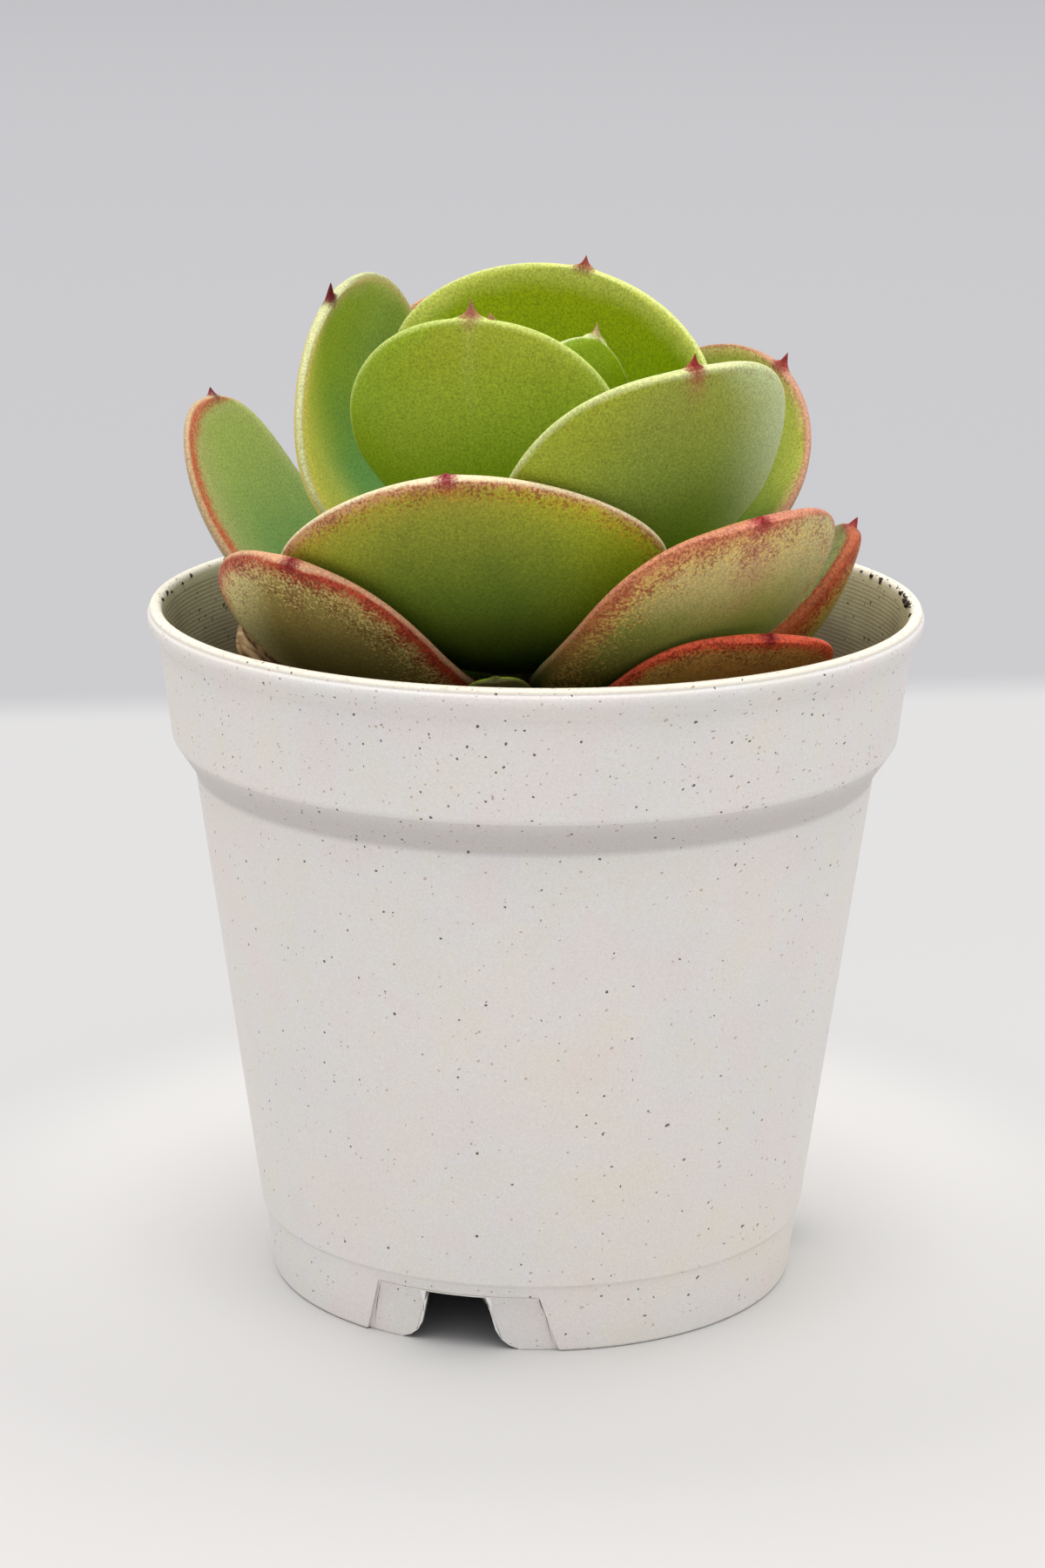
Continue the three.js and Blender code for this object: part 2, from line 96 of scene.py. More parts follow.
def roundPiece(sides, stations):
    radius, height = stations[0]
    deselectAll()
    bpy.ops.mesh.primitive_circle_add(vertices=sides, radius=radius * mm, fill_type="NGON",
                                      location=(0, 0, height * mm))
    bpy.ops.object.transform_apply(location=True)
    setMode("EDIT")
    drawThrough([(radius, radius, height) for radius, height in stations])
    return closeEdit()


def joinInto(piece, others):
    chooseOnly(piece)
    for other in others:
        other.select_set(True)
    bpy.ops.object.join()
    return bpy.context.object


# A ragged and flattened crumb, turned at random; ragged and flat are the ranges it is drawn from.
def addCrumb(draw, size, ragged, flat):
    bpy.ops.mesh.primitive_ico_sphere_add(subdivisions=1, radius=size / 2 * mm)
    crumb = bpy.context.object
    for vertex in crumb.data.vertices:
        vertex.co *= draw.uniform(*ragged)
    crumb.scale = (1, draw.uniform(0.6, 1), draw.uniform(*flat))
    crumb.rotation_euler = [draw.uniform(0, 3) for _ in range(3)]
    return crumb


# Edges up to this angle are shaded smooth.
def smoothUpTo(angle):
    bpy.ops.object.shade_smooth_by_angle(angle=math.radians(angle))


def useModifier(piece, kind, **settings):
    chooseOnly(piece)
    modifier = piece.modifiers.new(kind.lower(), kind)
    for name, value in settings.items():
        setattr(modifier, name, value)
    bpy.ops.object.modifier_apply(modifier=modifier.name)


# How far each point lies from a line of straight pieces.
def distanceToOutline(x, y, outlineX, outlineY):
    near = np.full(len(x), 1e9)
    for i in range(len(outlineX) - 1):
        ax, ay = outlineX[i], outlineY[i]
        dx, dy = outlineX[i + 1] - ax, outlineY[i + 1] - ay
        t = np.clip(((x - ax) * dx + (y - ay) * dy) / (dx * dx + dy * dy + 1e-12), 0, 1)
        near = np.minimum(near, np.hypot(x - ax - t * dx, y - ay - t * dy))
    return near


def storeShare(piece, name, domain, values):
    piece.data.attributes.new(name, "FLOAT", domain).data.foreach_set("value", values)


def storeVector(piece, name, columns):
    attribute = piece.data.attributes.new(name, "FLOAT_VECTOR", "POINT")
    attribute.data.foreach_set("vector", np.stack(columns, 1).astype(np.float32).ravel())


# ------- materials


def toLinear(hexColour):
    parts = [int(hexColour[i:i + 2], 16) / 255 for i in (1, 3, 5)]
    return [c / 12.92 if c <= 0.04045 else ((c + 0.055) / 1.055) ** 2.4 for c in parts] + [1]


def linearColours(look):
    return {name: toLinear(colour) for name, colour in look.items()}


def addNode(tree, kind, inputs=None, **settings):
    node = tree.nodes.new("ShaderNode" + kind)
    for name, value in settings.items():
        setattr(node, name, value)
    for name, value in (inputs or {}).items():
        if isinstance(value, bpy.types.NodeSocket):
            tree.links.new(value, node.inputs[name])
        else:
            node.inputs[name].default_value = value
    return node


def calculate(tree, operation, *values):
    return addNode(tree, "Math", dict(enumerate(values)), operation=operation).outputs[0]


def calculateVector(tree, operation, *values):
    return addNode(tree, "VectorMath", dict(enumerate(values)), operation=operation).outputs


def readAttribute(tree, name, output="Vector"):
    return addNode(tree, "Attribute", attribute_name=name).outputs[output]


def newMaterial(name):
    material = bpy.data.materials.new(name)
    material.use_nodes = True
    tree = material.node_tree
    tree.nodes.clear()
    output = addNode(tree, "OutputMaterial")
    place = addNode(tree, "TexCoord").outputs["Object"]
    return material, tree, output, place


# The material's surface: its colour, roughness and bumps, whose depth is in millimetres.
def addSurface(tree, output, colour, roughness, bumps=None, depth=0.0, strength=0.0, others=None):
    inputs = {"Base Color": colour, "Roughness": roughness, **(others or {})}
    if bumps is not None:
        bump = addNode(tree, "Bump", {"Height": bumps, "Distance": depth * mm, "Strength": strength})
        inputs["Normal"] = bump.outputs[0]
    shader = addNode(tree, "BsdfPrincipled", inputs)
    tree.links.new(shader.outputs[0], output.inputs["Surface"])


# 1 where value is at or past start, 0 at or past end, with the line between them broken up by grain.
def fade(tree, value, start, end, grain=None, spread=0.0):
    if grain is not None:
        value = calculate(tree, "MULTIPLY_ADD", grain, spread, value)
    mask = addNode(tree, "MapRange", {"Value": value, "From Min": start, "From Max": end,
                                      "To Min": 1.0, "To Max": 0.0}, interpolation_type="SMOOTHSTEP")
    return mask.outputs["Result"]


# Paints coloured layers over a first colour, each through the product of its masks.
def paintLayers(tree, colour, layers):
    for over, mask, *others in layers:
        for other in others:
            mask = calculate(tree, "MULTIPLY", mask, other)
        colour = addNode(tree, "Mix", {0: mask, 6: colour, 7: over}, data_type="RGBA").outputs[2]
    return colour


# Makes a colour lighter and darker by a share of the grain.
def mottle(tree, colour, grain, share):
    bright = calculate(tree, "MULTIPLY_ADD", grain, share, 1.0)
    return addNode(tree, "HueSaturation", {"Value": bright, "Color": colour}).outputs[0]


# Noise centred on 0, its grain size in millimetres.
def unevenness(tree, place, size, detail=2.0, roughness=0.5):
    cloud = addNode(tree, "TexNoise", {"Vector": place, "Scale": 1 / (size * mm), "Detail": detail,
                                       "Roughness": roughness})
    return calculate(tree, "SUBTRACT", cloud.outputs["Fac"], 0.5)


# ------- pot

pot = {
    "sides": 192,
    "footRadius": 18.95,
    "footBand": (19.63, 5.1),  # the foot band leans out to this radius at this height
    "floor": [(14, 4.4), (18.6, 4.4), (18.05, 0.15), (18.2, 0)],
    "outside": [
        (18.8, 0), (18.97, 0.15), (19.63, 5.0), (19.8, 5.15), (24.1, 36.4), (24.2, 37.2),
        (24.25, 37.6), (24.36, 37.86), (25.72, 39.9), (25.8, 40.02), (25.86, 40.14), (25.89, 40.3),
        (26.72, 47.2), (26.98, 47.5), (27.27, 47.9), (27.42, 48.15), (27.5, 48.45), (27.5, 48.8),
        (27.45, 48.93), (27.38, 49), (27.34, 49.07), (27.35, 49.16), (27.32, 49.28), (27.24, 49.38),
        (27.1, 49.44), (26.95, 49.45)],
    "lip": [(26.76, 49.44), (26.62, 49.38), (26.5, 49.22), (26.43, 48.95)],
    "collarInside": [(26.35, 48.65), (26.12, 47.2), (25.05, 40.3)],
    "inside": [(24.75, 39.4), (23.4, 38), (23.15, 36.4), (18.95, 5.8), (18.55, 5.3), (14, 5.3)],
    "ringPitch": 0.3,  # fine turned rings in the mould show inside the collar
    "ringDepth": 0.007,
    "notchAzimuths": [-105.6, 14.4, 134.4],
    # (half width, height) up the drain notch: flared foot corners, then a slight taper
    "notch": [(4.3, -1), (4.3, 0), (3.58, 0.28), (3.04, 0.75), (2.66, 1.43), (2.45, 2.3), (2.05, 4.05)],
    "notchReach": (15, 25),
    "slot": {"reach": (15, 18.2), "half": 2.05, "height": (3.9, 5.8)},
    "panelDepth": 0.35,
    "panelFold": 3,
    "panelTop": 4.2,
    "panelHalf": (7, 5.8),  # at the ground and at its top
    "wedgePast": (0.9, 0.5),  # how far the panel's cutter runs below its foot and above its top
    "edgeRound": 0.1,
    "edgeFrom": 38,  # edges sharper than this are rounded off
    "smoothTo": 32,  # and those up to this are shaded smooth
    # a face rounds off a notch if it lies outside this radius, near the outline and faces partly out
    "notchFace": {"beyond": 18, "within": 0.11, "outwards": (0.2, 0.97)},
    "insideFrom": (0.4, 0.6),  # depth in the wall at which the inside's colour starts and is full
    # (radius, height) of the lip where crumbs lie on it
    "rimTop": [(26.4, 48.95), (26.5, 49.22), (26.62, 49.38), (26.76, 49.44), (27.1, 49.42)],
    # groups: middle and spread of the azimuth, count
    "rimCrumbs": {"groups": [(4, 6, 56), (26, 8, 14), (168, 9, 14), (-150, 14, 8)],
                  "radius": (26.4, 26.9), "size": (0.2, 0.6), "ragged": (0.7, 1.25), "flat": (0.5, 0.8),
                  "seed": 4},
}


def rippledInside():
    (topRadius, topHeight), middle, (lowRadius, lowHeight) = pot["collarInside"]
    count = int((topHeight - lowHeight) / (pot["ringPitch"] / 4))
    stations = []
    for step in range(count + 1):
        height = topHeight + (lowHeight - topHeight) * step / count
        radius = np.interp(height, [lowHeight, middle[1], topHeight], [lowRadius, middle[0], topRadius])
        wave = pot["ringDepth"] * math.sin(2 * math.pi * height / pot["ringPitch"])
        stations.append((radius + wave, height))
    return stations


def turnedCopies(piece):
    for azimuth in pot["notchAzimuths"]:
        chooseOnly(piece)
        bpy.ops.object.duplicate()
        copy = bpy.context.object
        copy.rotation_euler[2] = math.radians(azimuth + 90)
        bpy.ops.object.transform_apply(rotation=True)
        yield copy


def cutThreeTimes(body, cutter):
    copies = list(turnedCopies(cutter))
    joined = joinInto(copies[0], copies)
    useModifier(body, "BOOLEAN", object=joined, operation="DIFFERENCE", solver="EXACT")
    bpy.data.objects.remove(joined)
    bpy.data.objects.remove(cutter)


def blockThrough(reach, stations):
    near, far = reach
    half, height = stations[0]
    deselectAll()
    bpy.ops.mesh.primitive_plane_add(size=2 * mm, location=(0, -(near + far) / 2 * mm, height * mm))
    bpy.context.object.scale = (half, (far - near) / 2, 1)
    bpy.ops.object.transform_apply(location=True, scale=True)
    setMode("EDIT")
    drawThrough([(half, 1, height) for half, height in stations])
    return closeEdit()


# A curved slab just outside the sunken panel's face: a ring kept only between two slanted sides.
def panelCutter():
    foot, (bandRadius, bandHeight) = pot["footRadius"], pot["footBand"]
    slope = (bandRadius - foot) / bandHeight
    face = foot - pot["panelDepth"]
    fold, top, far = pot["panelFold"], pot["panelTop"], pot["notchReach"][1]
    ring = roundPiece(pot["sides"], [(face - slope, -1), (face + slope * fold, fold),
                                     (foot + slope * top, top), (far, top), (far, -1)])
    setMode("EDIT")
    bpy.ops.mesh.select_all(action="DESELECT")
    setMode("OBJECT")
    for polygon in ring.data.polygons:
        polygon.select = len(polygon.vertices) > 4  # the two round ends come off
    setMode("EDIT")
    bpy.ops.mesh.delete(type="ONLY_FACE")
    bpy.ops.mesh.select_mode(type="EDGE")
    bpy.ops.mesh.select_non_manifold()
    bpy.ops.mesh.bridge_edge_loops()
    bpy.ops.mesh.select_mode(type="FACE")
    closeEdit()
    (low, high), (under, over) = pot["panelHalf"], pot["wedgePast"]
    lean = (low - high) / top
    sides = [(low + under * lean, -under), (high - over * lean, top + over)]
    wedge = blockThrough(pot["notchReach"], sides)
    useModifier(wedge, "BOOLEAN", object=ring, operation="INTERSECT", solver="EXACT")
    bpy.data.objects.remove(ring)
    return wedge


# Small spots scattered at random, one in each cell of the size whose draw passes the threshold; the
# further past it, the larger, up to most (a share of the cell).
def scattered(tree, place, size, threshold, most):
    cells = addNode(tree, "TexVoronoi", {"Vector": place, "Scale": 1 / (size * mm)})
    draw = addNode(tree, "SeparateColor", {0: cells.outputs["Color"]}).outputs[0]
    radius = addNode(tree, "MapRange", {"Value": draw, "From Min": threshold, "From Max": 1.0,
                                        "To Min": 0.0, "To Max": most}).outputs[0]
    return calculate(tree, "LESS_THAN", cells.outputs["Distance"], radius)


# Polypropylene, injection moulded: warm grey-white and satin, with tiny dark specks of peat on it; shade
# under the collar and in the foot, a lighter lip top and highlights on the notch edges are painted on.
def mouldedPotPlastic():
    look = linearColours({
        "wall": "#e5e2de", "warm": "#eadcca", "cool": "#dcdbdc", "blush": "#ecd6cc", "straw": "#e6dfc2",
        "rim": "#ece5d3", "inside": "#dad4ae", "ring": "#8f8862", "brownPatches": "#7d665a", "paintedStepShade": "#c6c1bc",
        "under": "#3b3536", "edge": "#fbf9f4", "speck": "#2e211a", "fleck": "#a97f5c", "peat": "#33281a"})
    material, tree, output, place = newMaterial("mouldedPotPlastic")
    height = addNode(tree, "SeparateXYZ", {0: place}).outputs[2]
    clouds = unevenness(tree, place, 14)
    patches = unevenness(tree, place, 5)
    fine = unevenness(tree, place, 0.5, 3.0)
    grain = unevenness(tree, place, 0.16, 2.0)
    inside, edge, peat = [readAttribute(tree, part + "Share", "Fac") for part in ("inside", "edge", "peat")]
    bent = calculateVector(tree, "MULTIPLY_ADD", fine, (0.0005, 0.0006, 0.0004), place)[0]

    # fade() over the height, in millimetres
    def heightFade(start, end, patchy=None, spread=0.0):
        return fade(tree, height, start * mm, end * mm, patchy, spread * mm)

    # dark specks that gather in patches, and more and fainter brown flecks, all up to 0.24 mm across
    crowd = calculate(tree, "MULTIPLY_ADD", heightFade(30, 46, patches, 20), 0.4, 0.35)
    specks = scattered(tree, bent, 0.62, crowd, 0.19)
    flecks = scattered(tree, bent, 0.45, crowd, 0.24)
    turns = calculate(tree, "MULTIPLY", height, 2 * math.pi / (pot["ringPitch"] * mm))
    rings = calculate(tree, "SINE", turns)
    colour = paintLayers(tree, look["wall"], [
        (look["warm"], fade(tree, clouds, 0.25, -0.1), 0.35),
        (look["cool"], fade(tree, clouds, -0.25, 0.05), 0.45),
        (look["blush"], fade(tree, patches, 0.14, -0.02, fine, 0.3), 0.2),
        (look["straw"], fade(tree, patches, -0.14, 0.02, fine, 0.3), 0.2),
        # the inside is painted darker and olive: darker from soil stain, and olive as painted green light
        # bounced from the leaves
        (look["inside"], inside, heightFade(49.05, 49.25, fine, 0.6)),
        (look["ring"], inside, fade(tree, rings, 0.9, -0.4, fine, 1.5), heightFade(48.8, 49), 0.28),
        # the inside turns browner in patches towards the soil
        (look["brownPatches"], inside, heightFade(43, 48, patches, 8), 0.6),
        (look["speck"], inside, scattered(tree, bent, 0.7, 0.2, 0.2), 0.85),
        # painted shade: the inside low in the foot, seen through the notches, is painted nearly black
        (look["under"], inside, heightFade(4.6, 5.2)),
        # painted shade: the band under the collar's step is painted darker, where the collar shades the
        # body
        (look["paintedStepShade"], heightFade(39.8, 40), heightFade(37.7, 37.1), heightFade(38.5, 41.5), 0.9),
        # the lip's top: a warmer cream of its own, and also painted lighter where light from above falls on
        # it
        (look["rim"], heightFade(49.3, 49)),
        # brown patches on the lip's top
        (look["brownPatches"], heightFade(49.4, 49.1), fade(tree, fine, 0.2, 0.04), 0.3),
        # painted highlight along the rounded edges of the drain notches
        (look["edge"], edge),
        (look["fleck"], flecks, 0.55),
        (look["speck"], specks, 0.85),
        (look["peat"], peat),
    ])
    addSurface(tree, output, mottle(tree, colour, grain, 0.25), 0.45, grain, 0.02, 0.5, {
        "IOR": 1.49, "Subsurface Weight": 0.06, "Subsurface Radius": (1, 0.9, 0.75),
        "Subsurface Scale": 0.0006})
    return material


# Marks, for the plastic, how far each point lies inside the wall.
def markInside(body):
    radii, heights = np.array(pot["outside"]).T
    x, y, z = np.array([vertex.co for vertex in body.data.vertices], float).T / mm
    depth = np.interp(z, heights, radii) - np.hypot(x, y)
    storeShare(body, "insideShare", "POINT", np.interp(depth, pot["insideFrom"], (0, 1)))


# Marks, for the plastic, the faces that round off the edge of each drain notch on the outside: there it
# paints a highlight.
def markNotchHighlights(body):
    halves, heights = np.array(pot["notch"]).T
    halves, heights = np.append(halves, 0), np.append(heights, heights[-1])
    face, count = pot["notchFace"], len(body.data.polygons)
    centres, normals = np.zeros(count * 3), np.zeros(count * 3)
    body.data.polygons.foreach_get("center", centres)
    body.data.polygons.foreach_get("normal", normals)
    centres, normals = centres.reshape(-1, 3) / mm, normals.reshape(-1, 3)
    share = np.zeros(count)
    outwards = np.sum(centres[:, :2] * normals[:, :2], 1) / np.linalg.norm(centres[:, :2], axis=1)
    for azimuth in pot["notchAzimuths"]:
        turn = math.radians(azimuth)
        ahead = centres[:, 0] * math.cos(turn) + centres[:, 1] * math.sin(turn)
        sideways = np.abs(centres[:, 1] * math.cos(turn) - centres[:, 0] * math.sin(turn))
        near = distanceToOutline(sideways, centres[:, 2], halves, heights)
        share[(ahead > face["beyond"]) & (near < face["within"])
              & (outwards > face["outwards"][0]) & (outwards < face["outwards"][1])] = 1
    storeShare(body, "edgeShare", "FACE", share)


# Crumbs of peat stuck to the inner edge of the rim: a string of them at the right, a few elsewhere.
def addRimCrumbs(body):
    crumbs = pot["rimCrumbs"]
    rimRadii, rimHeights = zip(*pot["rimTop"])
    draw = random.Random(crumbs["seed"])
    pieces = []
    for middle, spread, count in crumbs["groups"]:
        for _ in range(count):
            azimuth = math.radians(middle + draw.gauss(0, spread))
            radius, size = draw.uniform(*crumbs["radius"]), draw.uniform(*crumbs["size"])
            crumb = addCrumb(draw, size, crumbs["ragged"], crumbs["flat"])
            height = np.interp(radius, rimRadii, rimHeights) + size * 0.1
            height = min(height, pot["outside"][-1][1] - size * 0.45)
            crumb.location = Vector((radius * math.cos(azimuth), radius * math.sin(azimuth), height)) * mm
            storeShare(crumb, "peatShare", "POINT", np.ones(len(crumb.data.vertices)))
            pieces.append(crumb)
    joinInto(body, pieces)


def makePot():
    body = roundPiece(pot["sides"], pot["floor"] + pot["outside"] + pot["lip"] + rippledInside()
                      + pot["inside"])
    cutThreeTimes(body, panelCutter())
    cutThreeTimes(body, blockThrough(pot["notchReach"], pot["notch"]))
    slot = pot["slot"]
    cutThreeTimes(body, blockThrough(slot["reach"], [(slot["half"], z) for z in slot["height"]]))
    useModifier(body, "BEVEL", width=pot["edgeRound"] * mm, segments=2, limit_method="ANGLE",
                angle_limit=math.radians(pot["edgeFrom"]), use_clamp_overlap=False)
    chooseOnly(body)
    smoothUpTo(pot["smoothTo"])
    useModifier(body, "WEIGHTED_NORMAL", keep_sharp=True)
    markInside(body)
    markNotchHighlights(body)
    addRimCrumbs(body)
    finishPiece("potBody", mouldedPotPlastic(), "pot")


makePot()
print("pot: body, notches and sunken panels")

# ------- soil

soil = {
    "sides": 144,
    "rings": 34,  # of the surface
    "bed": [(18.2, 5.6), (23, 38.2), (24.35, 39.6), (24.7, 40.5)],
    "centre": 40.1,  # height beside the stem
    "wall": 42.5,  # height at the pot's wall
    "wallRadius": 25,
    "radius": 24.8,
    "level": 41,  # the surface is drawn flat at this height and then shaped
    "hole": 3.65,
    "holeSides": [(3.65, 39.8), (3.6, 30.7)],
    "lumps": 0.35,
    "roughness": 0.25,
    "smoothTo": 40,
    "crumbs": 420,
    "crumbSpread": (0.26, 0.985), "crumbPower": 0.7,  # its share of the radius, and to which power
    "crumbSize": (0.35, 1.25),
    "smallest": 0.25,
    "wallGap": 0.2,  # between a crumb and the wall
    "lift": 0.12,  # a crumb's middle stands this share of its size above the bed
    "crumbRagged": (0.75, 1.2),
    "crumbFlat": (0.5, 0.9),
    "seed": 7,
}


def soilHeight(x, y):
    reach = math.hypot(x, y) / soil["wallRadius"]
    lumps = math.sin(1.1 * x + 0.4) * math.cos(0.9 * y - 0.7) + 0.6 * math.sin(2.3 * x - 1.7 * y)
    rise = (soil["wall"] - soil["centre"]) * reach ** 2
    return soil["centre"] + rise + soil["lumps"] * lumps * min(1, 2 * reach)


# Peat potting soil, damp and crumbly: dark brown, matt, no two crumbs of quite the same brown.
def crumblyPeat():
    look = linearColours({"peat": "#3b2a1f", "dry": "#6b4f3a", "dark": "#1d1511"})
    material, tree, output, place = newMaterial("crumblyPeat")
    coarse = unevenness(tree, place, 1.6, 4.0, 0.6)
    fine = unevenness(tree, place, 0.35, 4.0, 0.7)
    colour = paintLayers(tree, look["peat"], [
        (look["dry"], fade(tree, coarse, 0.16, -0.04, fine, 0.5)),
        (look["dark"], fade(tree, coarse, -0.16, 0.0, fine, 0.5)),
    ])
    addSurface(tree, output, colour, 0.95, fine, 0.3, 0.9)
    return material


def makeSoil():
    radii = np.linspace(soil["radius"], soil["hole"] + 0.8, soil["rings"])
    surface = [(radius, soil["level"]) for radius in radii]
    bed = roundPiece(soil["sides"], soil["bed"] + surface + soil["holeSides"])
    for vertex in bed.data.vertices:
        x, y, z = vertex.co / mm
        if abs(z - soil["level"]) < 0.01:
            rough = soil["roughness"] * noise.fractal(Vector((x, y, 3)) * 0.9, 1.0, 2.0, 3)
            nearWall = min(1, (soil["wallRadius"] - math.hypot(x, y)) / 2)
            vertex.co.z = (soilHeight(x, y) + rough * nearWall) * mm
    draw = random.Random(soil["seed"])
    crumbs = []
    for _ in range(soil["crumbs"]):
        angle, spread = draw.uniform(0, 2 * math.pi), draw.uniform(*soil["crumbSpread"])
        reach = soil["radius"] * spread ** soil["crumbPower"]
        x, y = reach * math.cos(angle), reach * math.sin(angle)
        size = draw.uniform(*soil["crumbSize"]) * draw.uniform(0.5, 1)
        size = min(size, max(soil["smallest"], soil["radius"] - soil["wallGap"] - math.hypot(x, y)))
        crumb = addCrumb(draw, size, soil["crumbRagged"], soil["crumbFlat"])
        crumb.location = Vector((x, y, soilHeight(x, y) + size * soil["lift"])) * mm
        crumbs.append(crumb)
    joinInto(bed, crumbs)
    smoothUpTo(soil["smoothTo"])
    finishPiece("soilBed", crumblyPeat(), "soil")


makeSoil()
print("soil: bed and crumbs")

# ------- stem

stem = {
    "sides": 32,
    "heights": [31, 31.6, 34, 38, 42, 45, 48, 51, 54, 56, 58, 59, 59.5, 59.6],
    "radius": 3.2, "radiusAt": 42, "taper": 0.06,  # taper: radius lost per millimetre of height
    "tipFrom": 54, "tipTaper": 0.24,  # it narrows more from here up
    "footRound": 0.6,
    "tipRadius": 0.15,
    "scar": 0.12,  # every other station is this much narrower
    "smoothTo": 40,
}


def stemRadius(height):
    tip = max(0, height - stem["tipFrom"])
    return stem["radius"] - (height - stem["radiusAt"]) * stem["taper"] - tip * stem["tipTaper"]


# Succulent stem, grown: pale green to straw, a little corky low down.
def corkyStem():
    look = linearColours({"cork": "#8a7a55", "green": "#9aa860"})
    material, tree, output, place = newMaterial("corkyStem")
    height = addNode(tree, "SeparateXYZ", {0: place}).outputs[2]
    grain = unevenness(tree, place, 0.8, 3.0)
    lowDown = fade(tree, height, 44 * mm, 52 * mm, grain, 10 * mm)
    colour = paintLayers(tree, look["green"], [(look["cork"], lowDown)])
    addSurface(tree, output, colour, 0.7, grain, 0.1, 0.6)
    return material


def makeStem():
    heights = stem["heights"]
    stations = [(stemRadius(heights[0]) - stem["footRound"], heights[0])]
    for index, height in enumerate(heights[1:-1]):
        stations.append((stemRadius(height) - stem["scar"] * (index % 2), height))
    stations.append((stem["tipRadius"], heights[-1]))
    roundPiece(stem["sides"], stations)
    smoothUpTo(stem["smoothTo"])
    finishPiece("stemCore", corkyStem(), "stem")


makeStem()
print("stem: core")

# ------- leaves

# Each leaf starts as a ball: its poles become the root and the spine's point, its rings the
# sections of the blade.
blade = {
    "sides": 64,  # round the section; a multiple of 4
    "rings": 96,
    "spineRings": 12,
    "widestAt": 0.6,  # share of the length
    "rootSpread": 0.9,
    # the flesh is fullest at this share of the length and loses these shares at the root and the tip
    "fullestAt": 0.35, "rootLoss": 0.25, "tipLoss": 0.55,
    "innerFullness": 0.3,  # share of the flesh that lies on the inner face
    "edgeThickness": 0.66,
    "edgeReach": 1.2,  # how far in from the margin that thickness is reached
    "margin": 0.15,  # half the thickness of the rounded margin
    "marginShare": 0.2,  # share of each quarter section that goes round the margin
    # below this share of the length the section curls more, at the root to this share of its radius
    "curlTo": 0.5, "rootCurl": 0.45,
    "gap": 0.3,  # between root and stem
    "neckAt": 0.978,  # the spine's neck: its place past the widest one, as a share of the rest
    "neckTop": 1.5,  # its half width at most
    "spineHalf": 0.5,  # half width and half thickness of the spine's foot
    "spineFlesh": 0.36,
    "spineSeat": 0.05,  # how deep the spine's foot sits in the blade
    "grooveLength": 5, "grooveHalf": 0.7,  # down the outer face from the tip
    "ribTurns": 9, "ribSlant": 3,
}
# What a leaf has unless its own values say otherwise. sweep bends it sideways; the larger square is,
# the squarer its end; rootShare and neckShare are how much of its width the root and the neck keep.
leafShape = {"twist": 0, "sweep": 0, "square": 2.2, "thickness": 1.2, "rootShare": 0.3, "spine": 0.5,
             "groove": 0, "ribs": 0, "neckShare": 0.55}


# The share of the length at the given share of the way from the widest place to the end.
def pastWidest(share):
    return blade["widestAt"] + (1 - blade["widestAt"]) * share


def endRound(leaf, u):
    v = np.clip((u - blade["widestAt"]) / (1 - blade["widestAt"]), 0, 1)
    return (1 - v ** leaf["square"]) ** (1 / leaf["square"])


def halfWidth(leaf, u):
    spread = np.sin(np.minimum(u / blade["widestAt"], 1) * math.pi / 2) ** blade["rootSpread"]
    body = leaf["rootShare"] + (1 - leaf["rootShare"]) * spread
    return leaf["width"] / 2 * np.where(u < blade["widestAt"], body, endRound(leaf, u))


def fullness(leaf, u):
    fullest = blade["fullestAt"]
    rise = 1 - blade["rootLoss"] * (1 - u / fullest) ** 2
    fall = 1 - blade["tipLoss"] * np.maximum(0, (u - fullest) / (1 - fullest)) ** 1.5
    end = np.where(u < blade["widestAt"], 1, endRound(leaf, u) ** 0.6)
    return (leaf["thickness"] * np.where(u < fullest, rise, fall) - blade["edgeThickness"]) * end


# Root, bend and tip of the blade's middle line, and the direction across the blade.
def middleLine(leaf):
    azimuth = math.radians(leaf["azimuth"])
    out = np.array([math.cos(azimuth), math.sin(azimuth), 0])
    across = np.array([-math.sin(azimuth), math.cos(azimuth), 0])
    stemSide = stemRadius(leaf["rise"])
    rise, run = leaf["height"] - leaf["rise"], leaf["reach"] - stemSide
    slope = math.atan2(rise, run) - math.atan2(2 * leaf["bow"], math.hypot(rise, run))
    share = blade["innerFullness"] if slope > 0 else 1 - blade["innerFullness"]
    half = blade["edgeThickness"] / 2 + share * float(fullness(leaf, np.array(0.0)))
    rootReach = stemSide + blade["gap"] + abs(half * math.sin(slope))
    root = out * rootReach + [0, 0, leaf["rise"]]
    tip = out * leaf["reach"] + [0, 0, leaf["height"]]
    chord = (tip - root) / np.linalg.norm(tip - root)
    bend = (root + tip) / 2 - np.cross(chord, across) * leaf["bow"]
    return root, bend, tip, across


def unit(rows):
    return rows / np.linalg.norm(rows, axis=1, keepdims=True)


# Place on the middle line and the directions along, across and out of the inner face.
def bladeFrame(leaf, line, u):
    root, bend, tip, across = line
    u = u[:, None]
    place = root * (1 - u) ** 2 + bend * 2 * u * (1 - u) + tip * u ** 2 + across * leaf["sweep"] * u ** 2
    along = unit((bend - root) * 2 * (1 - u) + (tip - bend) * 2 * u + across * 2 * leaf["sweep"] * u)
    side = unit(across - along * (along @ across)[:, None])
    inner = np.cross(along, side)
    cosine, sine = [f(np.radians(leaf["twist"]) * u) for f in (np.cos, np.sin)]
    return place, along, side * cosine + inner * sine, inner * cosine - side * sine


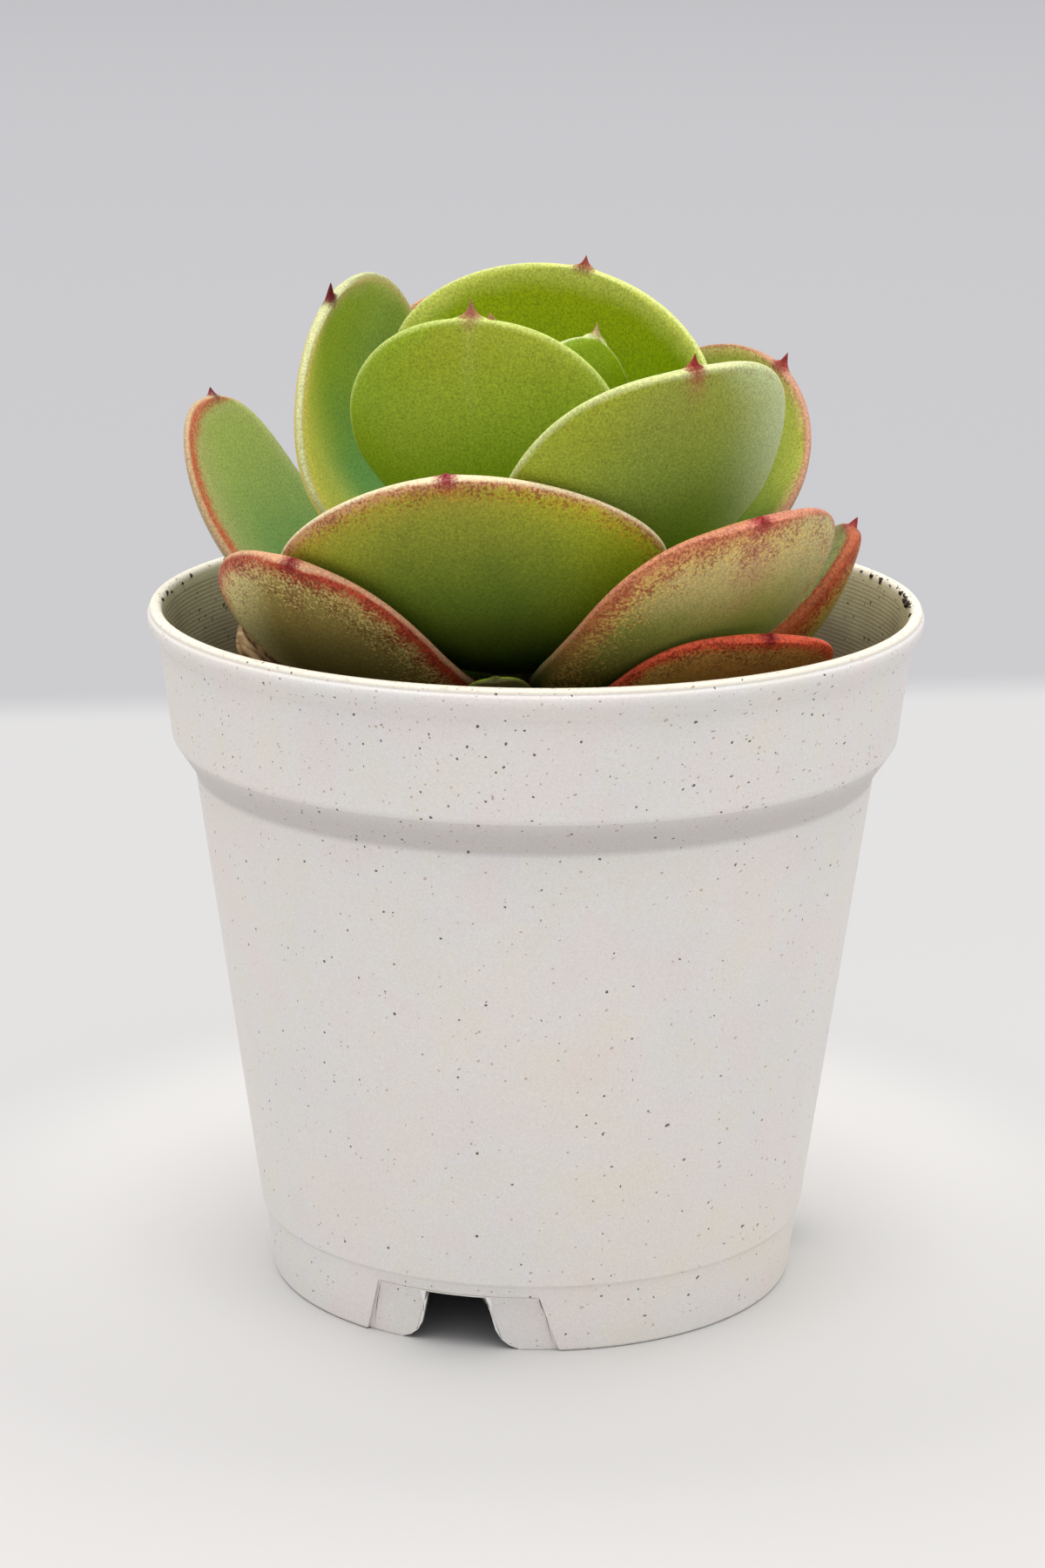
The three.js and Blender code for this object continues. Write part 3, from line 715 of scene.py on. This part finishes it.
# Shares of the length for the blade's rings: even to the widest place, then even round the end.
def bladeShares(leaf, count):
    neck = neckHalf(leaf) / (leaf["width"] / 2)
    lastTurn = math.acos(neck ** (leaf["square"] / 2))
    first = np.linspace(0, blade["widestAt"], count // 2, endpoint=False)
    turns = np.linspace(0, lastTurn, count - count // 2)
    return np.concatenate([first, pastWidest(np.sin(turns) ** (2 / leaf["square"]))])


def neckHalf(leaf):
    lastRing = float(halfWidth(leaf, np.array(pastWidest(blade["neckAt"]))))
    return min(blade["neckTop"], leaf["neckShare"] * lastRing)


def makeBlade(leaf):
    leaf = {**leafShape, **leaf}
    rings, spineRings = blade["rings"], blade["spineRings"]
    deselectAll()
    bpy.ops.mesh.primitive_uv_sphere_add(segments=blade["sides"], ring_count=rings, radius=1)
    piece = bpy.context.object
    ball = np.zeros(len(piece.data.vertices) * 3)
    piece.data.vertices.foreach_get("co", ball)
    ball = ball.reshape(-1, 3)
    ring = np.rint((1 - np.arccos(np.clip(ball[:, 2], -1, 1)) / math.pi) * rings).astype(int)
    angle = np.arctan2(ball[:, 1], ball[:, 0])
    pole = (ring == 0) | (ring == rings)

    # u along the blade for each ring, then 0 to 1 up the spine
    shares = bladeShares(leaf, rings - spineRings)
    u = np.concatenate([[0], shares, np.ones(spineRings)])[ring]
    spineShare = np.clip((ring - (rings - spineRings)) / spineRings, 0, 1)
    spineLeft, onBlade = 1 - spineShare, spineShare == 0
    neckLoss = (neckHalf(leaf) - blade["spineHalf"]) * spineLeft ** 6
    spineHalf = neckLoss + blade["spineHalf"] * spineLeft ** 1.2
    half = np.where(onBlade, halfWidth(leaf, u), spineHalf)

    # share across the blade from the place round the section
    side = np.sign(np.sin(angle)) * (np.abs(np.sin(angle)) > 1e-6)
    quarter = np.minimum(np.abs(angle), math.pi - np.abs(angle)) / (math.pi / 2)
    margin = np.minimum(blade["margin"], half * 0.5)
    rounding = np.minimum(1, quarter / blade["marginShare"]) * math.pi / 2
    inward = np.maximum(0, (quarter - blade["marginShare"]) / (1 - blade["marginShare"])) ** 1.25
    fromEdge = margin * (1 - np.cos(rounding)) + (half - margin) * inward
    across = np.sign(np.cos(angle)) * (1 - fromEdge / np.maximum(half, 1e-6))
    across = np.where(pole | (quarter > 0.999), 0, across)

    # flesh out of both faces
    swell = fullness(leaf, u) * (1 - np.abs(across) ** 2.4) ** 0.7
    part = np.where(side > 0, blade["innerFullness"], 1 - blade["innerFullness"])
    thick = margin + (blade["edgeThickness"] / 2 - margin) * np.clip(fromEdge / blade["edgeReach"], 0, 1)
    spineFlesh = blade["spineFlesh"] * spineLeft ** 0.8 * np.sqrt(np.maximum(0, 1 - across ** 2))
    flesh = np.where(onBlade, thick * np.sin(rounding) + part * swell, spineFlesh)
    place, along, acrossWay, innerWay = bladeFrame(leaf, middleLine(leaf), u)
    steps = np.linspace(0, 1, 400)
    path = bladeFrame(leaf, middleLine(leaf), steps)[0]
    lengths = np.concatenate([[0], np.cumsum(np.linalg.norm(np.diff(path, axis=0), axis=1))])

    # millimetres down from the end, for shares of the length
    def downFromEnd(u):
        return np.interp(1 - u, 1 - steps[::-1], (lengths[-1] - lengths)[::-1])

    down, sideways = downFromEnd(u), across * half
    if leaf["groove"]:
        reach = np.clip(1 - down / blade["grooveLength"], 0, 1) * onBlade
        dip = np.exp(-(sideways / blade["grooveHalf"]) ** 2) * (side < 0)
        flesh = flesh - leaf["groove"] * reach * dip
    if leaf["ribs"]:
        ribs = np.sin(across * blade["ribTurns"] + blade["ribSlant"] * u)
        flesh = flesh + leaf["ribs"] * ribs * (1 - across ** 2)
    flesh = np.where(pole, 0, flesh) * side

    # bend the section to the cup and set it on the middle line
    curl = blade["rootCurl"] + (1 - blade["rootCurl"]) * np.minimum(1, u / blade["curlTo"])
    radius = leaf["width"] / math.radians(leaf["cup"]) * curl
    turn = sideways / radius
    lift = (spineShare * (leaf["spine"] + blade["spineSeat"]) - blade["spineSeat"] * ~onBlade)[:, None]
    points = (place + along * lift + acrossWay * (np.sin(turn) * (radius - flesh))[:, None]
              + innerWay * (radius - (radius - flesh) * np.cos(turn))[:, None])
    piece.data.vertices.foreach_set("co", (points * mm).ravel())

    # what the skin needs: millimetres to the side, down from the end and in from the margin
    outlineShares = np.concatenate([[0], shares, [1]])
    outline = np.append(halfWidth(leaf, outlineShares[:-1]), 0)
    edge = distanceToOutline(np.abs(sideways), down, outline, downFromEnd(outlineShares)) * onBlade
    down = np.where(onBlade, down, -spineShare * leaf["spine"])
    storeVector(piece, "bladeMm", [sideways, down, edge])
    storeVector(piece, "bladeShare", [across, u, 0.5 + 0.5 * side])
    bpy.ops.object.shade_smooth()
    return piece


# Succulent leaf skin, grown: fleshy and half translucent under a thin matt wax, with a sunburnt red
# margin that breaks up into golden grains and dark freckles, and a pale glow along the very edge.
# A layer is its colour, its reach in from the margin in millimetres and its share; None leaves it out.
leafSkin = {
    "outer": ("#6f8c22", "#8ba336", "#98a648"),  # at the foot, in the middle and at the crown; the darker foot is partly the leaf's own colour, partly painted shade where the leaves crowd
    "inner": ("#5f8a1c", "#93ac2c"),  # at the foot and the crown, the foot likewise partly painted shade
    "low": None, "high": None,  # colour and share of a tint at the side of share -1 or of share 1
    "haze": ("#b3bf6c", 3.5, 0.15),
    "streak": None,  # its reach: half its width and its length, down from the tip
    "band": None,  # its reach: on the outer and on the inner face
    "bandLean": 0.0,  # share by which the band widens towards the side of share 1
    "bandFrom": (-0.2, -0.1),  # shares of the length between which the band comes in
    "grains": None, "freckles": None,
    "line": ("#d6dd96", 0.45, 0.5),
    "spine": ("#a4483c", (0.9, 1.5), 0.6),  # and the blush below it, of a streak's reach
    "point": "#8a4a3c",
}


# 0 at the end of the blade and 1 at the ellipse of the given half width and length below it.
def fromTip(tree, millimetres, size):
    wide, long = size
    scaled = calculateVector(tree, "MULTIPLY", millimetres, (1 / wide, 1 / long, 0))[0]
    return calculateVector(tree, "LENGTH", scaled)["Value"]


# Ragged spots that nearly meet at the margin and thin out to none at the given width.
def spotsWithin(tree, edge, width, flecks):
    return fade(tree, edge, 0.4 * width, 0.6 * width, flecks, 2.6 * width)


def waxyLeafSkin(name, skin):
    skin = {**leafSkin, **skin}
    (foot, middle, crown), (innerFoot, innerCrown) = [
        [toLinear(colour) for colour in skin[face]] for face in ("outer", "inner")]
    material, tree, output, place = newMaterial("waxyLeafSkin_" + name)
    millimetres = readAttribute(tree, "bladeMm")
    sideways, down, edge = addNode(tree, "SeparateXYZ", {0: millimetres}).outputs
    across, along, inner = addNode(tree, "SeparateXYZ", {0: readAttribute(tree, "bladeShare")}).outputs
    # skin cells are finer than the render shows: drawn at 0.17 mm
    cells = unevenness(tree, place, 0.17, 2.0, 0.7)
    clouds = unevenness(tree, place, 3.5)
    wander = unevenness(tree, place, 1.6, 3.0)
    # two patterns of flecks of 0.1 to 0.2 mm that gather in patches
    aside = calculateVector(tree, "ADD", place, (0.1, 0.2, 0.3))[0]
    flecks, otherFlecks = [
        calculate(tree, "MULTIPLY_ADD", wander, 0.35, unevenness(tree, spot, 0.22, 2.0, 0.6))
        for spot in (place, aside)]

    # adds the named layer of the skin, seen through the masks and its share
    def addLayer(part, *masks):
        colour, *_, share = skin[part]
        layers.append((toLinear(colour), *masks, share))

    # 1 at the tip and 0 at the edge of the named layer's ellipse
    def nearTip(part, ragged, spread):
        return fade(tree, fromTip(tree, millimetres, skin[part][1]), 0.0, 1.0, ragged, spread)

    # the inner face darkens towards its foot, partly as painted shade
    innerFace = paintLayers(tree, innerFoot, [(innerCrown, fade(tree, along, 0.98, 0.5, clouds, 0.15))])
    layers = [
        # the foot's darker colour is partly painted shade low down among the leaves
        (foot, fade(tree, along, 0.28, 0.68, clouds, 0.15)),
        (crown, fade(tree, along, 1.0, 0.66, clouds, 0.15)),
        (innerFace, inner),
    ]
    addLayer("haze", fade(tree, edge, 0.0, skin["haze"][1], clouds, 2.0))
    if skin["low"]:
        addLayer("low", fade(tree, across, -1.0, -0.2))
    if skin["high"]:
        addLayer("high", fade(tree, across, 1.0, 0.2))
    if skin["streak"]:
        addLayer("streak", nearTip("streak", flecks, 1.6))

    # the red margin's width differs between the faces and from one side of the blade to the other
    comesIn = fade(tree, along, skin["bandFrom"][1], skin["bandFrom"][0], wander, 0.2)
    widest = 0
    if skin["band"]:
        outerMm, innerMm = skin["band"][1]
        widest = max(outerMm, innerMm)
        lean = calculate(tree, "MULTIPLY_ADD", across, skin["bandLean"], 1.0)
        faces = addNode(tree, "MapRange", {"Value": inner, "To Min": outerMm, "To Max": innerMm})
        width = calculate(tree, "MULTIPLY", faces.outputs[0], lean)
        ratio = calculate(tree, "DIVIDE", edge, calculate(tree, "MAXIMUM", width, 0.02))
        addLayer("band", fade(tree, ratio, 0.2, 1.9, flecks, 2.6), comesIn)
    if skin["grains"]:
        addLayer("grains", spotsWithin(tree, edge, skin["grains"][1], otherFlecks),
                 fade(tree, edge, widest * 1.3, widest * 0.3), fade(tree, flecks, 0.03, -0.03))
    if skin["freckles"]:
        addLayer("freckles", spotsWithin(tree, edge, skin["freckles"][1], flecks),
                 fade(tree, otherFlecks, -0.07, 0.0), comesIn)
    addLayer("line", fade(tree, edge, 0.0, skin["line"][1], wander, 0.2))

    # the spine fades into the blade, with a blush of its colour below it
    addLayer("spine", nearTip("spine", cells, 1.0))
    beside = fade(tree, calculate(tree, "ABSOLUTE", sideways), 0.5, 1.1)
    layers += [
        (toLinear(skin["spine"][0]), fade(tree, down, -0.45, 0.35, cells, 0.6), beside),
        (toLinear(skin["point"]), fade(tree, down, -1.0, -0.3), 0.7),
    ]
    # a slight grain of lighter and darker cells
    painted = mottle(tree, paintLayers(tree, middle, layers), cells, 1.5)
    addSurface(tree, output, painted, 0.5, cells, 0.02, 0.7, {
        "IOR": 1.4, "Specular IOR Level": 0.18, "Subsurface Weight": 0.12,
        "Subsurface Radius": (0.9, 1.0, 0.35), "Subsurface Scale": 0.001})
    return material


# Leaves from the heart outwards. rise is the root's height on the stem; reach and height place the
# tip; bow is how far the middle line bulges outwards; cup is the arc of the section in degrees.
budSkin = {"outer": ("#84a526", "#97b436", "#a6bf4c"), "spine": ("#a4483c", (0.4, 0.4), 0.6)}
budNames = ("azimuth", "rise", "reach", "height", "bow", "width")
buds = [(134, 59.4, 0.5, 63.8, 0.4, 2.6), (-89, 58.8, 1.2, 64.6, 0.6, 3.6),
        (49, 58.2, 2, 65.6, 1, 5), (186, 57.6, 2.8, 66.8, 1.4, 7)]
leaves = {f"bud_{number}": {**dict(zip(budNames, bud)), "cup": 80, "skin": budSkin}
          for number, bud in enumerate(buds, 1)}
hiddenSkin = {"outer": ("#6f8c22", "#8f9a4c", "#a99a5c"), "inner": ("#5f8a1c", "#93984a"),
              "band": ("#c05a48", (0.9, 0.6), 0.9), "grains": ("#c9a24a", 2.6, 0.6),
              "freckles": ("#6d2a1a", 2.0, 0.65)}  # of the two leaves hidden at the back
leaves.update({
    "leaf_01": {
        "azimuth": -46.3, "rise": 57.5, "reach": 2.5, "height": 68, "bow": 2.8, "width": 11, "cup": 52,
        "twist": -1.2, "sweep": 3.2, "square": 1.6, "thickness": 1.7, "spine": 1.3, "neckShare": 1.7,
        "skin": {
            "outer": ("#5f7a00", "#6a8400", "#7a9204"), "haze": ("#b3bf6c", 3.5, 0.0),
            "line": ("#dbe5a4", 0.3, 0.8), "spine": ("#9c8a5a", (0.5, 0.6), 0.3), "point": "#8f6e50"}},
    "leaf_02": {
        "azimuth": -109.5, "rise": 52.7, "reach": 12.6, "height": 71.2, "bow": 6.4, "width": 20, "cup": 55,
        "twist": 7, "sweep": -0.3, "thickness": 2.2, "spine": 1.4,
        "secondSpine": {"at": 0.985, "side": 1.35, "radius": 0.42, "tipRadius": 0.02, "length": 1.1},
        "skin": {
            "outer": ("#87aa0c", "#98ac30", "#959f22"), "low": ("#7c9c08", 0.6),
            "haze": ("#bcc75c", 3.5, 0.15), "streak": ("#a8b054", (0.8, 9.0), 0.35),
            "line": ("#d3de84", 0.55, 0.65), "spine": ("#a0654e", (1.0, 1.4), 0.5), "point": "#8c6448"}},
    "leaf_03": {
        "azimuth": 75, "rise": 53.6, "reach": 7.9, "height": 72, "bow": 2.9, "width": 26.5, "cup": 73,
        "twist": -13, "sweep": -1.3, "square": 2, "thickness": 2.2, "rootShare": 0.26, "spine": 1,
        "skin": {
            "inner": ("#7e9b00", "#98a800"), "haze": ("#d6d96c", 2.3, 0.65),
            "line": ("#d6dd96", 0.35, 0.5), "spine": ("#96463a", (1.3, 0.9), 0.5), "point": "#8a3a34"}},
    "leaf_04": {
        "azimuth": -58.5, "rise": 49.7, "reach": 20.1, "height": 68.8, "bow": 7.2, "width": 24.2,
        "cup": 55, "twist": 8, "sweep": -0.3, "square": 2.7, "thickness": 2.4, "spine": 1.1,
        "skin": {
            "outer": ("#8cb20c", "#8a9e42", "#909632"), "low": ("#a9b31a", 0.55), "high": ("#c8d2a0", 0.8),
            "streak": ("#a8744a", (1.6, 2.8), 0.6), "freckles": ("#8a5a2c", 1.2, 0.35),
            "line": ("#dce2a8", 0.5, 0.6), "spine": ("#96302c", (1.0, 1.3), 0.75), "point": "#7c2a26"}},
    "leaf_05": {
        "azimuth": 153.5, "rise": 49.2, "reach": 13.7, "height": 70.4, "bow": 10, "width": 28, "cup": 35,
        "twist": 13, "sweep": 5.2, "thickness": 2.2, "rootShare": 0.34, "spine": 1.5,
        "skin": {
            "outer": ("#8fa878", "#a0b284", "#a9b47c"), "inner": ("#66954e", "#9eb232"),
            "high": ("#e2d860", 0.8), "haze": ("#cfc878", 1.8, 0.4), "band": ("#d8a878", (0.5, 0.5), 0.5),
            "line": ("#bcc79a", 0.4, 0.75), "spine": ("#6c2226", (0.7, 0.9), 0.6), "point": "#5e1c20"}},
    "leaf_06": {
        "azimuth": 30, "rise": 48.4, "reach": 17.2, "height": 65.5, "bow": 6, "width": 23.3, "cup": 45,
        "twist": 4, "sweep": -4.9, "square": 2, "thickness": 2.4, "rootShare": 0.26, "spine": 1.2,
        "skin": {
            "outer": ("#6f8c22", "#9aa64c", "#b0a058"), "inner": ("#3c5c00", "#b0b64c"),
            "haze": ("#cdaa78", 1.3, 0.55), "band": ("#8f3e34", (0.12, 0.2), 0.7),
            "freckles": ("#94502c", 1.2, 0.35), "line": ("#dfb09a", 0.3, 0.4),
            "spine": ("#9c3e3c", (1.3, 1.1), 0.6), "point": "#84303a"}},
    "leaf_07": {
        "azimuth": -104.5, "rise": 46.9, "reach": 22.4, "height": 62.3, "bow": 7.8, "width": 27.2,
        "cup": 48, "twist": 12, "sweep": -0.3, "square": 1.9, "thickness": 3.2, "rootShare": 0.34,
        "spine": 0.3,
        "skin": {
            "outer": ("#34450f", "#6c812a", "#989a30"), "low": ("#b3ae34", 0.55), "high": ("#adb31c", 0.6),
            "haze": ("#b39a40", 3.2, 0.55), "streak": ("#b4522e", (2.2, 2.2), 0.5),
            "band": ("#cf9376", (0.45, 0.4), 0.8), "bandLean": -0.3, "grains": ("#c98c30", 2.2, 0.45),
            "freckles": ("#8a3a22", 2.0, 0.65), "line": ("#efe0b8", 0.22, 0.8),
            "spine": ("#8e2030", (1.0, 1.3), 0.9), "point": "#8a1e34"}},
    "leaf_08": {
        "azimuth": 101.5, "rise": 47, "reach": 23.7, "height": 68.4, "bow": 8.6, "width": 20.3, "cup": 35,
        "twist": -1, "sweep": -0.4, "square": 2.3, "thickness": 2.4, "rootShare": 0.22, "spine": 1,
        "skin": {
            "inner": ("#5f8a1c", "#a8a450"), "band": ("#a5523f", (0.7, 1.0), 0.9),
            "grains": ("#c9a24a", 2.4, 0.6), "line": ("#d9b98a", 0.45, 0.5)}},
    "leaf_09": {
        "azimuth": 172.1, "rise": 46.1, "reach": 23.9, "height": 62.8, "bow": 10.4, "width": 19, "cup": 19,
        "twist": -10.6, "sweep": -2.7, "square": 2.5, "thickness": 2.5, "rootShare": 0.18, "spine": 0.7,
        "skin": {
            "outer": ("#8ea062", "#9daa7c", "#a3a680"), "inner": ("#78a255", "#a6b65c"),
            "high": ("#c9a884", 0.3), "haze": ("#c9c088", 2.4, 0.3), "band": ("#bb4c38", (0.1, 0.5), 0.9),
            "bandLean": 0.85, "line": ("#b9bc92", 0.3, 0.6), "spine": ("#6d2028", (0.8, 0.9), 0.6),
            "point": "#64202a"}},
    "leaf_10": {
        "azimuth": -50.5, "rise": 44.4, "reach": 23.8, "height": 59, "bow": 7.4, "width": 22.3, "cup": 35,
        "twist": 4, "sweep": -0.4, "square": 2.9, "thickness": 2.6, "spine": 0.3, "groove": 0.15,
        "skin": {
            "outer": ("#484e18", "#929746", "#d6bc80"), "high": ("#bdb88c", 0.6),
            "streak": ("#b87464", (2.8, 8.0), 0.75), "band": ("#cc503e", (0.85, 0.3), 0.65),
            "bandLean": -0.75, "bandFrom": (0.3, 0.8), "grains": ("#e6c468", 5.0, 0.75),
            "freckles": ("#94402e", 4.4, 0.65), "line": ("#e8b0a0", 0.2, 0.2),
            "spine": ("#8e2026", (1.1, 1.1), 0.8), "point": "#861c28"}},
    "leaf_11": {
        "azimuth": 53.5, "rise": 45.2, "reach": 21, "height": 56.3, "bow": 5.1, "width": 19.8, "cup": 36,
        "thickness": 2.4, "rootShare": 0.26, "spine": 1, "skin": hiddenSkin},
    "leaf_12": {
        "azimuth": -143.5, "rise": 44.1, "reach": 23.6, "height": 55.8, "bow": 7.9, "width": 17.8,
        "cup": 24, "twist": 17, "sweep": 4.6, "square": 2.6, "thickness": 2.8, "spine": 0.3, "groove": 0.2,
        "skin": {
            "outer": ("#4a4a1c", "#857a40", "#9c8848"), "low": ("#ece6a4", 1.0),
            "streak": ("#6d2e2c", (1.2, 6.5), 0.65), "band": ("#b8382a", (1.0, 0.5), 0.9),
            "grains": ("#dfc67c", 5.2, 0.7), "freckles": ("#6e2218", 4.2, 0.6),
            "line": ("#ecd6a8", 0.2, 0.4), "spine": ("#7c1822", (0.9, 1.2), 0.8), "point": "#701822"}},
    "leaf_13": {
        "azimuth": 16.5, "rise": 43.5, "reach": 23.5, "height": 53.7, "bow": 8.1, "width": 12.2, "cup": 44,
        "twist": -9.8, "sweep": -0.9, "square": 2.5, "thickness": 4, "rootShare": 0.15, "spine": 0.8,
        "skin": {
            "outer": ("#969436", "#bcae50", "#c6a254"), "inner": ("#6d8a3a", "#84924a"),
            "band": ("#b03c28", (0.9, 0.3), 0.9), "bandLean": -0.5, "grains": ("#c9b050", 3.5, 0.6),
            "freckles": ("#6d2a1a", 3.0, 0.5), "line": ("#d8b880", 0.2, 0.1),
            "spine": ("#8a2a2e", (0.9, 1.5), 0.6), "point": "#7c2430"}},
    "leaf_14": {
        "azimuth": 118, "rise": 43, "reach": 21.4, "height": 54, "bow": 5.4, "width": 20, "cup": 37,
        "thickness": 2.4, "rootShare": 0.26, "spine": 0.8, "skin": hiddenSkin},
    "leaf_15": {
        "azimuth": -44.5, "rise": 41.5, "reach": 22, "height": 50.3, "bow": 4.3, "width": 18.9, "cup": 14,
        "twist": -11, "sweep": 0.1, "square": 2.9, "thickness": 2, "spine": 0.4,
        "skin": {
            "outer": ("#7c6c32", "#bc9848", "#d4944c"), "streak": ("#74241c", (1.1, 3.2), 0.6),
            "band": ("#ea5238", (0.75, 0.4), 0.9), "bandLean": 0.2, "grains": ("#e2b258", 3.2, 0.6),
            "freckles": ("#5e1c14", 3.4, 0.6), "line": ("#d8604a", 0.2, 0.3),
            "spine": ("#7c1a20", (0.9, 1.2), 0.6), "point": "#701a20"}},
    "leaf_16": {
        "azimuth": -100.8, "rise": 42.4, "reach": 17.5, "height": 47.7, "bow": 3.1, "width": 5.2,
        "cup": 32, "twist": 12, "sweep": 0.6, "square": 3, "thickness": 1.4, "spine": 0.3,
        # painted shade: its colours are dark for the shade it lies in under leaf_07
        "skin": {
            "outer": ("#4a4c22", "#58582e", "#66643a"), "haze": ("#b3bf6c", 3.5, 0.0),
            "line": ("#d6dd96", 0.45, 0.0), "spine": ("#66643a", (0.9, 1.5), 0.6), "point": "#66643a"}},
})


# A second, smaller spine beside the first, drawn out of a cone with a wide and flat foot.
def addSecondSpine(piece, leaf):
    leaf = {**leafShape, **leaf}
    small = leaf["secondSpine"]
    u = np.array([pastWidest(small["at"])])
    place, along, acrossWay, innerWay = [rows[0] for rows in bladeFrame(leaf, middleLine(leaf), u)]
    radius = leaf["width"] / math.radians(leaf["cup"])
    turn = small["side"] / radius
    centre = place + acrossWay * math.sin(turn) * radius + innerWay * radius * (1 - math.cos(turn))
    deselectAll()
    bpy.ops.mesh.primitive_cone_add(vertices=20, radius1=small["radius"] * mm,
                                    radius2=small["tipRadius"] * mm, depth=small["length"] * mm)
    cone = bpy.context.object
    setMode("EDIT")
    bpy.ops.mesh.subdivide(number_cuts=4)
    setMode("OBJECT")
    vertices = cone.data.vertices
    depth = np.array([vertex.co.z / mm for vertex in vertices])
    for vertex, z in zip(vertices, depth):
        vertex.co.x *= 2.4 - 1.2 * min(1, max(0, z) / (small["length"] / 3))
        vertex.co.y *= 0.25 if z < 0 else 0.7
    frameWays = Matrix([acrossWay, innerWay, along]).transposed()
    cone.matrix_world = Matrix.Translation(Vector(centre) * mm) @ frameWays.to_4x4()
    bpy.ops.object.transform_apply(location=True, rotation=True)
    none = np.zeros(len(vertices))
    storeVector(cone, "bladeMm", [none, -np.maximum(0, depth) * 0.9, none])
    storeVector(cone, "bladeShare", [none, none + 1, none + 0.5])
    bpy.ops.object.shade_smooth()
    joinInto(piece, [cone])


for name, leaf in leaves.items():
    piece = makeBlade(leaf)
    if "secondSpine" in leaf:
        addSecondSpine(piece, leaf)
    finishPiece(name + "_blade", waxyLeafSkin(name, leaf["skin"]), name)
print("leaves:", len(leaves), "blades with their skins")

# ------- dried leaf

driedLeaf = {"azimuth": -169.5, "rise": 41.9, "reach": 21, "height": 48.2, "bow": 5.3, "width": 7.3,
             "cup": 32, "twist": -48, "sweep": 0.1, "square": 2.4, "thickness": 1.4, "rootShare": 0.4,
             "spine": 0.2, "ribs": 0.14}


# An old leaf, dried on the plant: papery tan, ribbed lengthways, darker in the folds.
def paperyDriedLeaf():
    look = linearColours({"tan": "#a3855c", "pale": "#c9ad80", "fold": "#5b432c"})
    material, tree, output, place = newMaterial("paperyDriedLeaf")
    millimetres = readAttribute(tree, "bladeMm")
    stretched = calculateVector(tree, "MULTIPLY", millimetres, (2.2, 0.3, 1.0))[0]
    fibres = addNode(tree, "TexNoise", {"Vector": stretched, "Scale": 1.0, "Detail": 3.0}).outputs["Fac"]
    fine = unevenness(tree, place, 0.4, 3.0)
    colour = paintLayers(tree, look["tan"], [
        (look["pale"], fade(tree, fibres, 0.64, 0.5, fine, 0.1)),
        (look["fold"], fade(tree, fibres, 0.36, 0.47, fine, 0.1)),
    ])
    addSurface(tree, output, colour, 0.85, fibres, 0.3, 0.8)
    return material


makeBlade(driedLeaf)
finishPiece("dried_leaf_blade", paperyDriedLeaf(), "dried_leaf")
print("dried leaf: done")

# ------- floor, light and camera

stage = {
    "size": 8000,
    "backdropFrom": (165, 181),  # the floor turns into the backdrop's grey this far behind the pot
    "backdropLean": -0.13,  # along a line that runs off to the back at the right
    "floor": "#c0bfbe", "farFloor": "#b7b7b7", "farFrom": (-60, 90), "backdrop": "#a4a4a7",
    "paintedFloorLight": "#cccbc9", "nearCentre": 10, "nearTo": (30, 52),  # painted light: palest round and behind the pot, lifting its shadow
    "skyColour": "#eef0f6", "sky": 0.84,
    "softbox": {"size": 3.2, "height": 2.6, "power": 92.0, "colour": "#fffbf5"},  # metres and watts
}


# Matt white paper, seamless.
def paperSweep():
    material, tree, output, place = newMaterial("paperSweep")
    depth = calculateVector(tree, "DOT_PRODUCT", place, (stage["backdropLean"], 1, 0))["Value"]
    reach = calculateVector(tree, "DISTANCE", place, (0, stage["nearCentre"] * mm, 0))["Value"]
    (near, far), (start, end), (inmost, outmost) = [
        [distance * mm for distance in stage[name]] for name in ("farFrom", "backdropFrom", "nearTo")]
    colour = paintLayers(tree, toLinear(stage["floor"]), [
        (toLinear(stage["farFloor"]), fade(tree, depth, far, near)),
        # painted light: the floor is paler round the pot, lifting its shadow
        (toLinear(stage["paintedFloorLight"]), fade(tree, reach, inmost, outmost)),
        (toLinear(stage["backdrop"]), fade(tree, depth, end, start))])
    addSurface(tree, output, colour, 1.0, others={"Specular IOR Level": 0.1})
    return material


deselectAll()
bpy.ops.mesh.primitive_plane_add(size=stage["size"] * mm)
floor = bpy.context.object
floor.name = "floor"
floor.data.materials.append(paperSweep())

world = bpy.data.worlds.new("skyFill")
bpy.context.scene.world = world
world.use_nodes = True
background = world.node_tree.nodes["Background"]
background.inputs["Color"].default_value = toLinear(stage["skyColour"])
background.inputs["Strength"].default_value = stage["sky"]

softbox = stage["softbox"]
bpy.ops.object.light_add(type="AREA", location=(0, 0, softbox["height"]))
light = bpy.context.object.data
light.shape, light.size, light.energy = "SQUARE", softbox["size"], softbox["power"]
light.color = toLinear(softbox["colour"])[:3]

camera = {"place": (0, -284.99, 111.98), "down": 14.954, "left": 0.172, "roll": 0.401, "lens": 94.268}
bpy.ops.object.camera_add(location=Vector(camera["place"]) * mm)
view = bpy.context.object
turn = (Matrix.Rotation(math.radians(camera["left"]), 3, "Z")
        @ Matrix.Rotation(math.radians(90 - camera["down"]), 3, "X")
        @ Matrix.Rotation(math.radians(camera["roll"]), 3, "Z"))
view.rotation_euler = turn.to_euler()
view.data.lens = camera["lens"]
view.data.clip_start = 0.01
bpy.context.scene.camera = view
bpy.context.scene.view_settings.view_transform = "Standard"
print("stage: floor, light and camera")
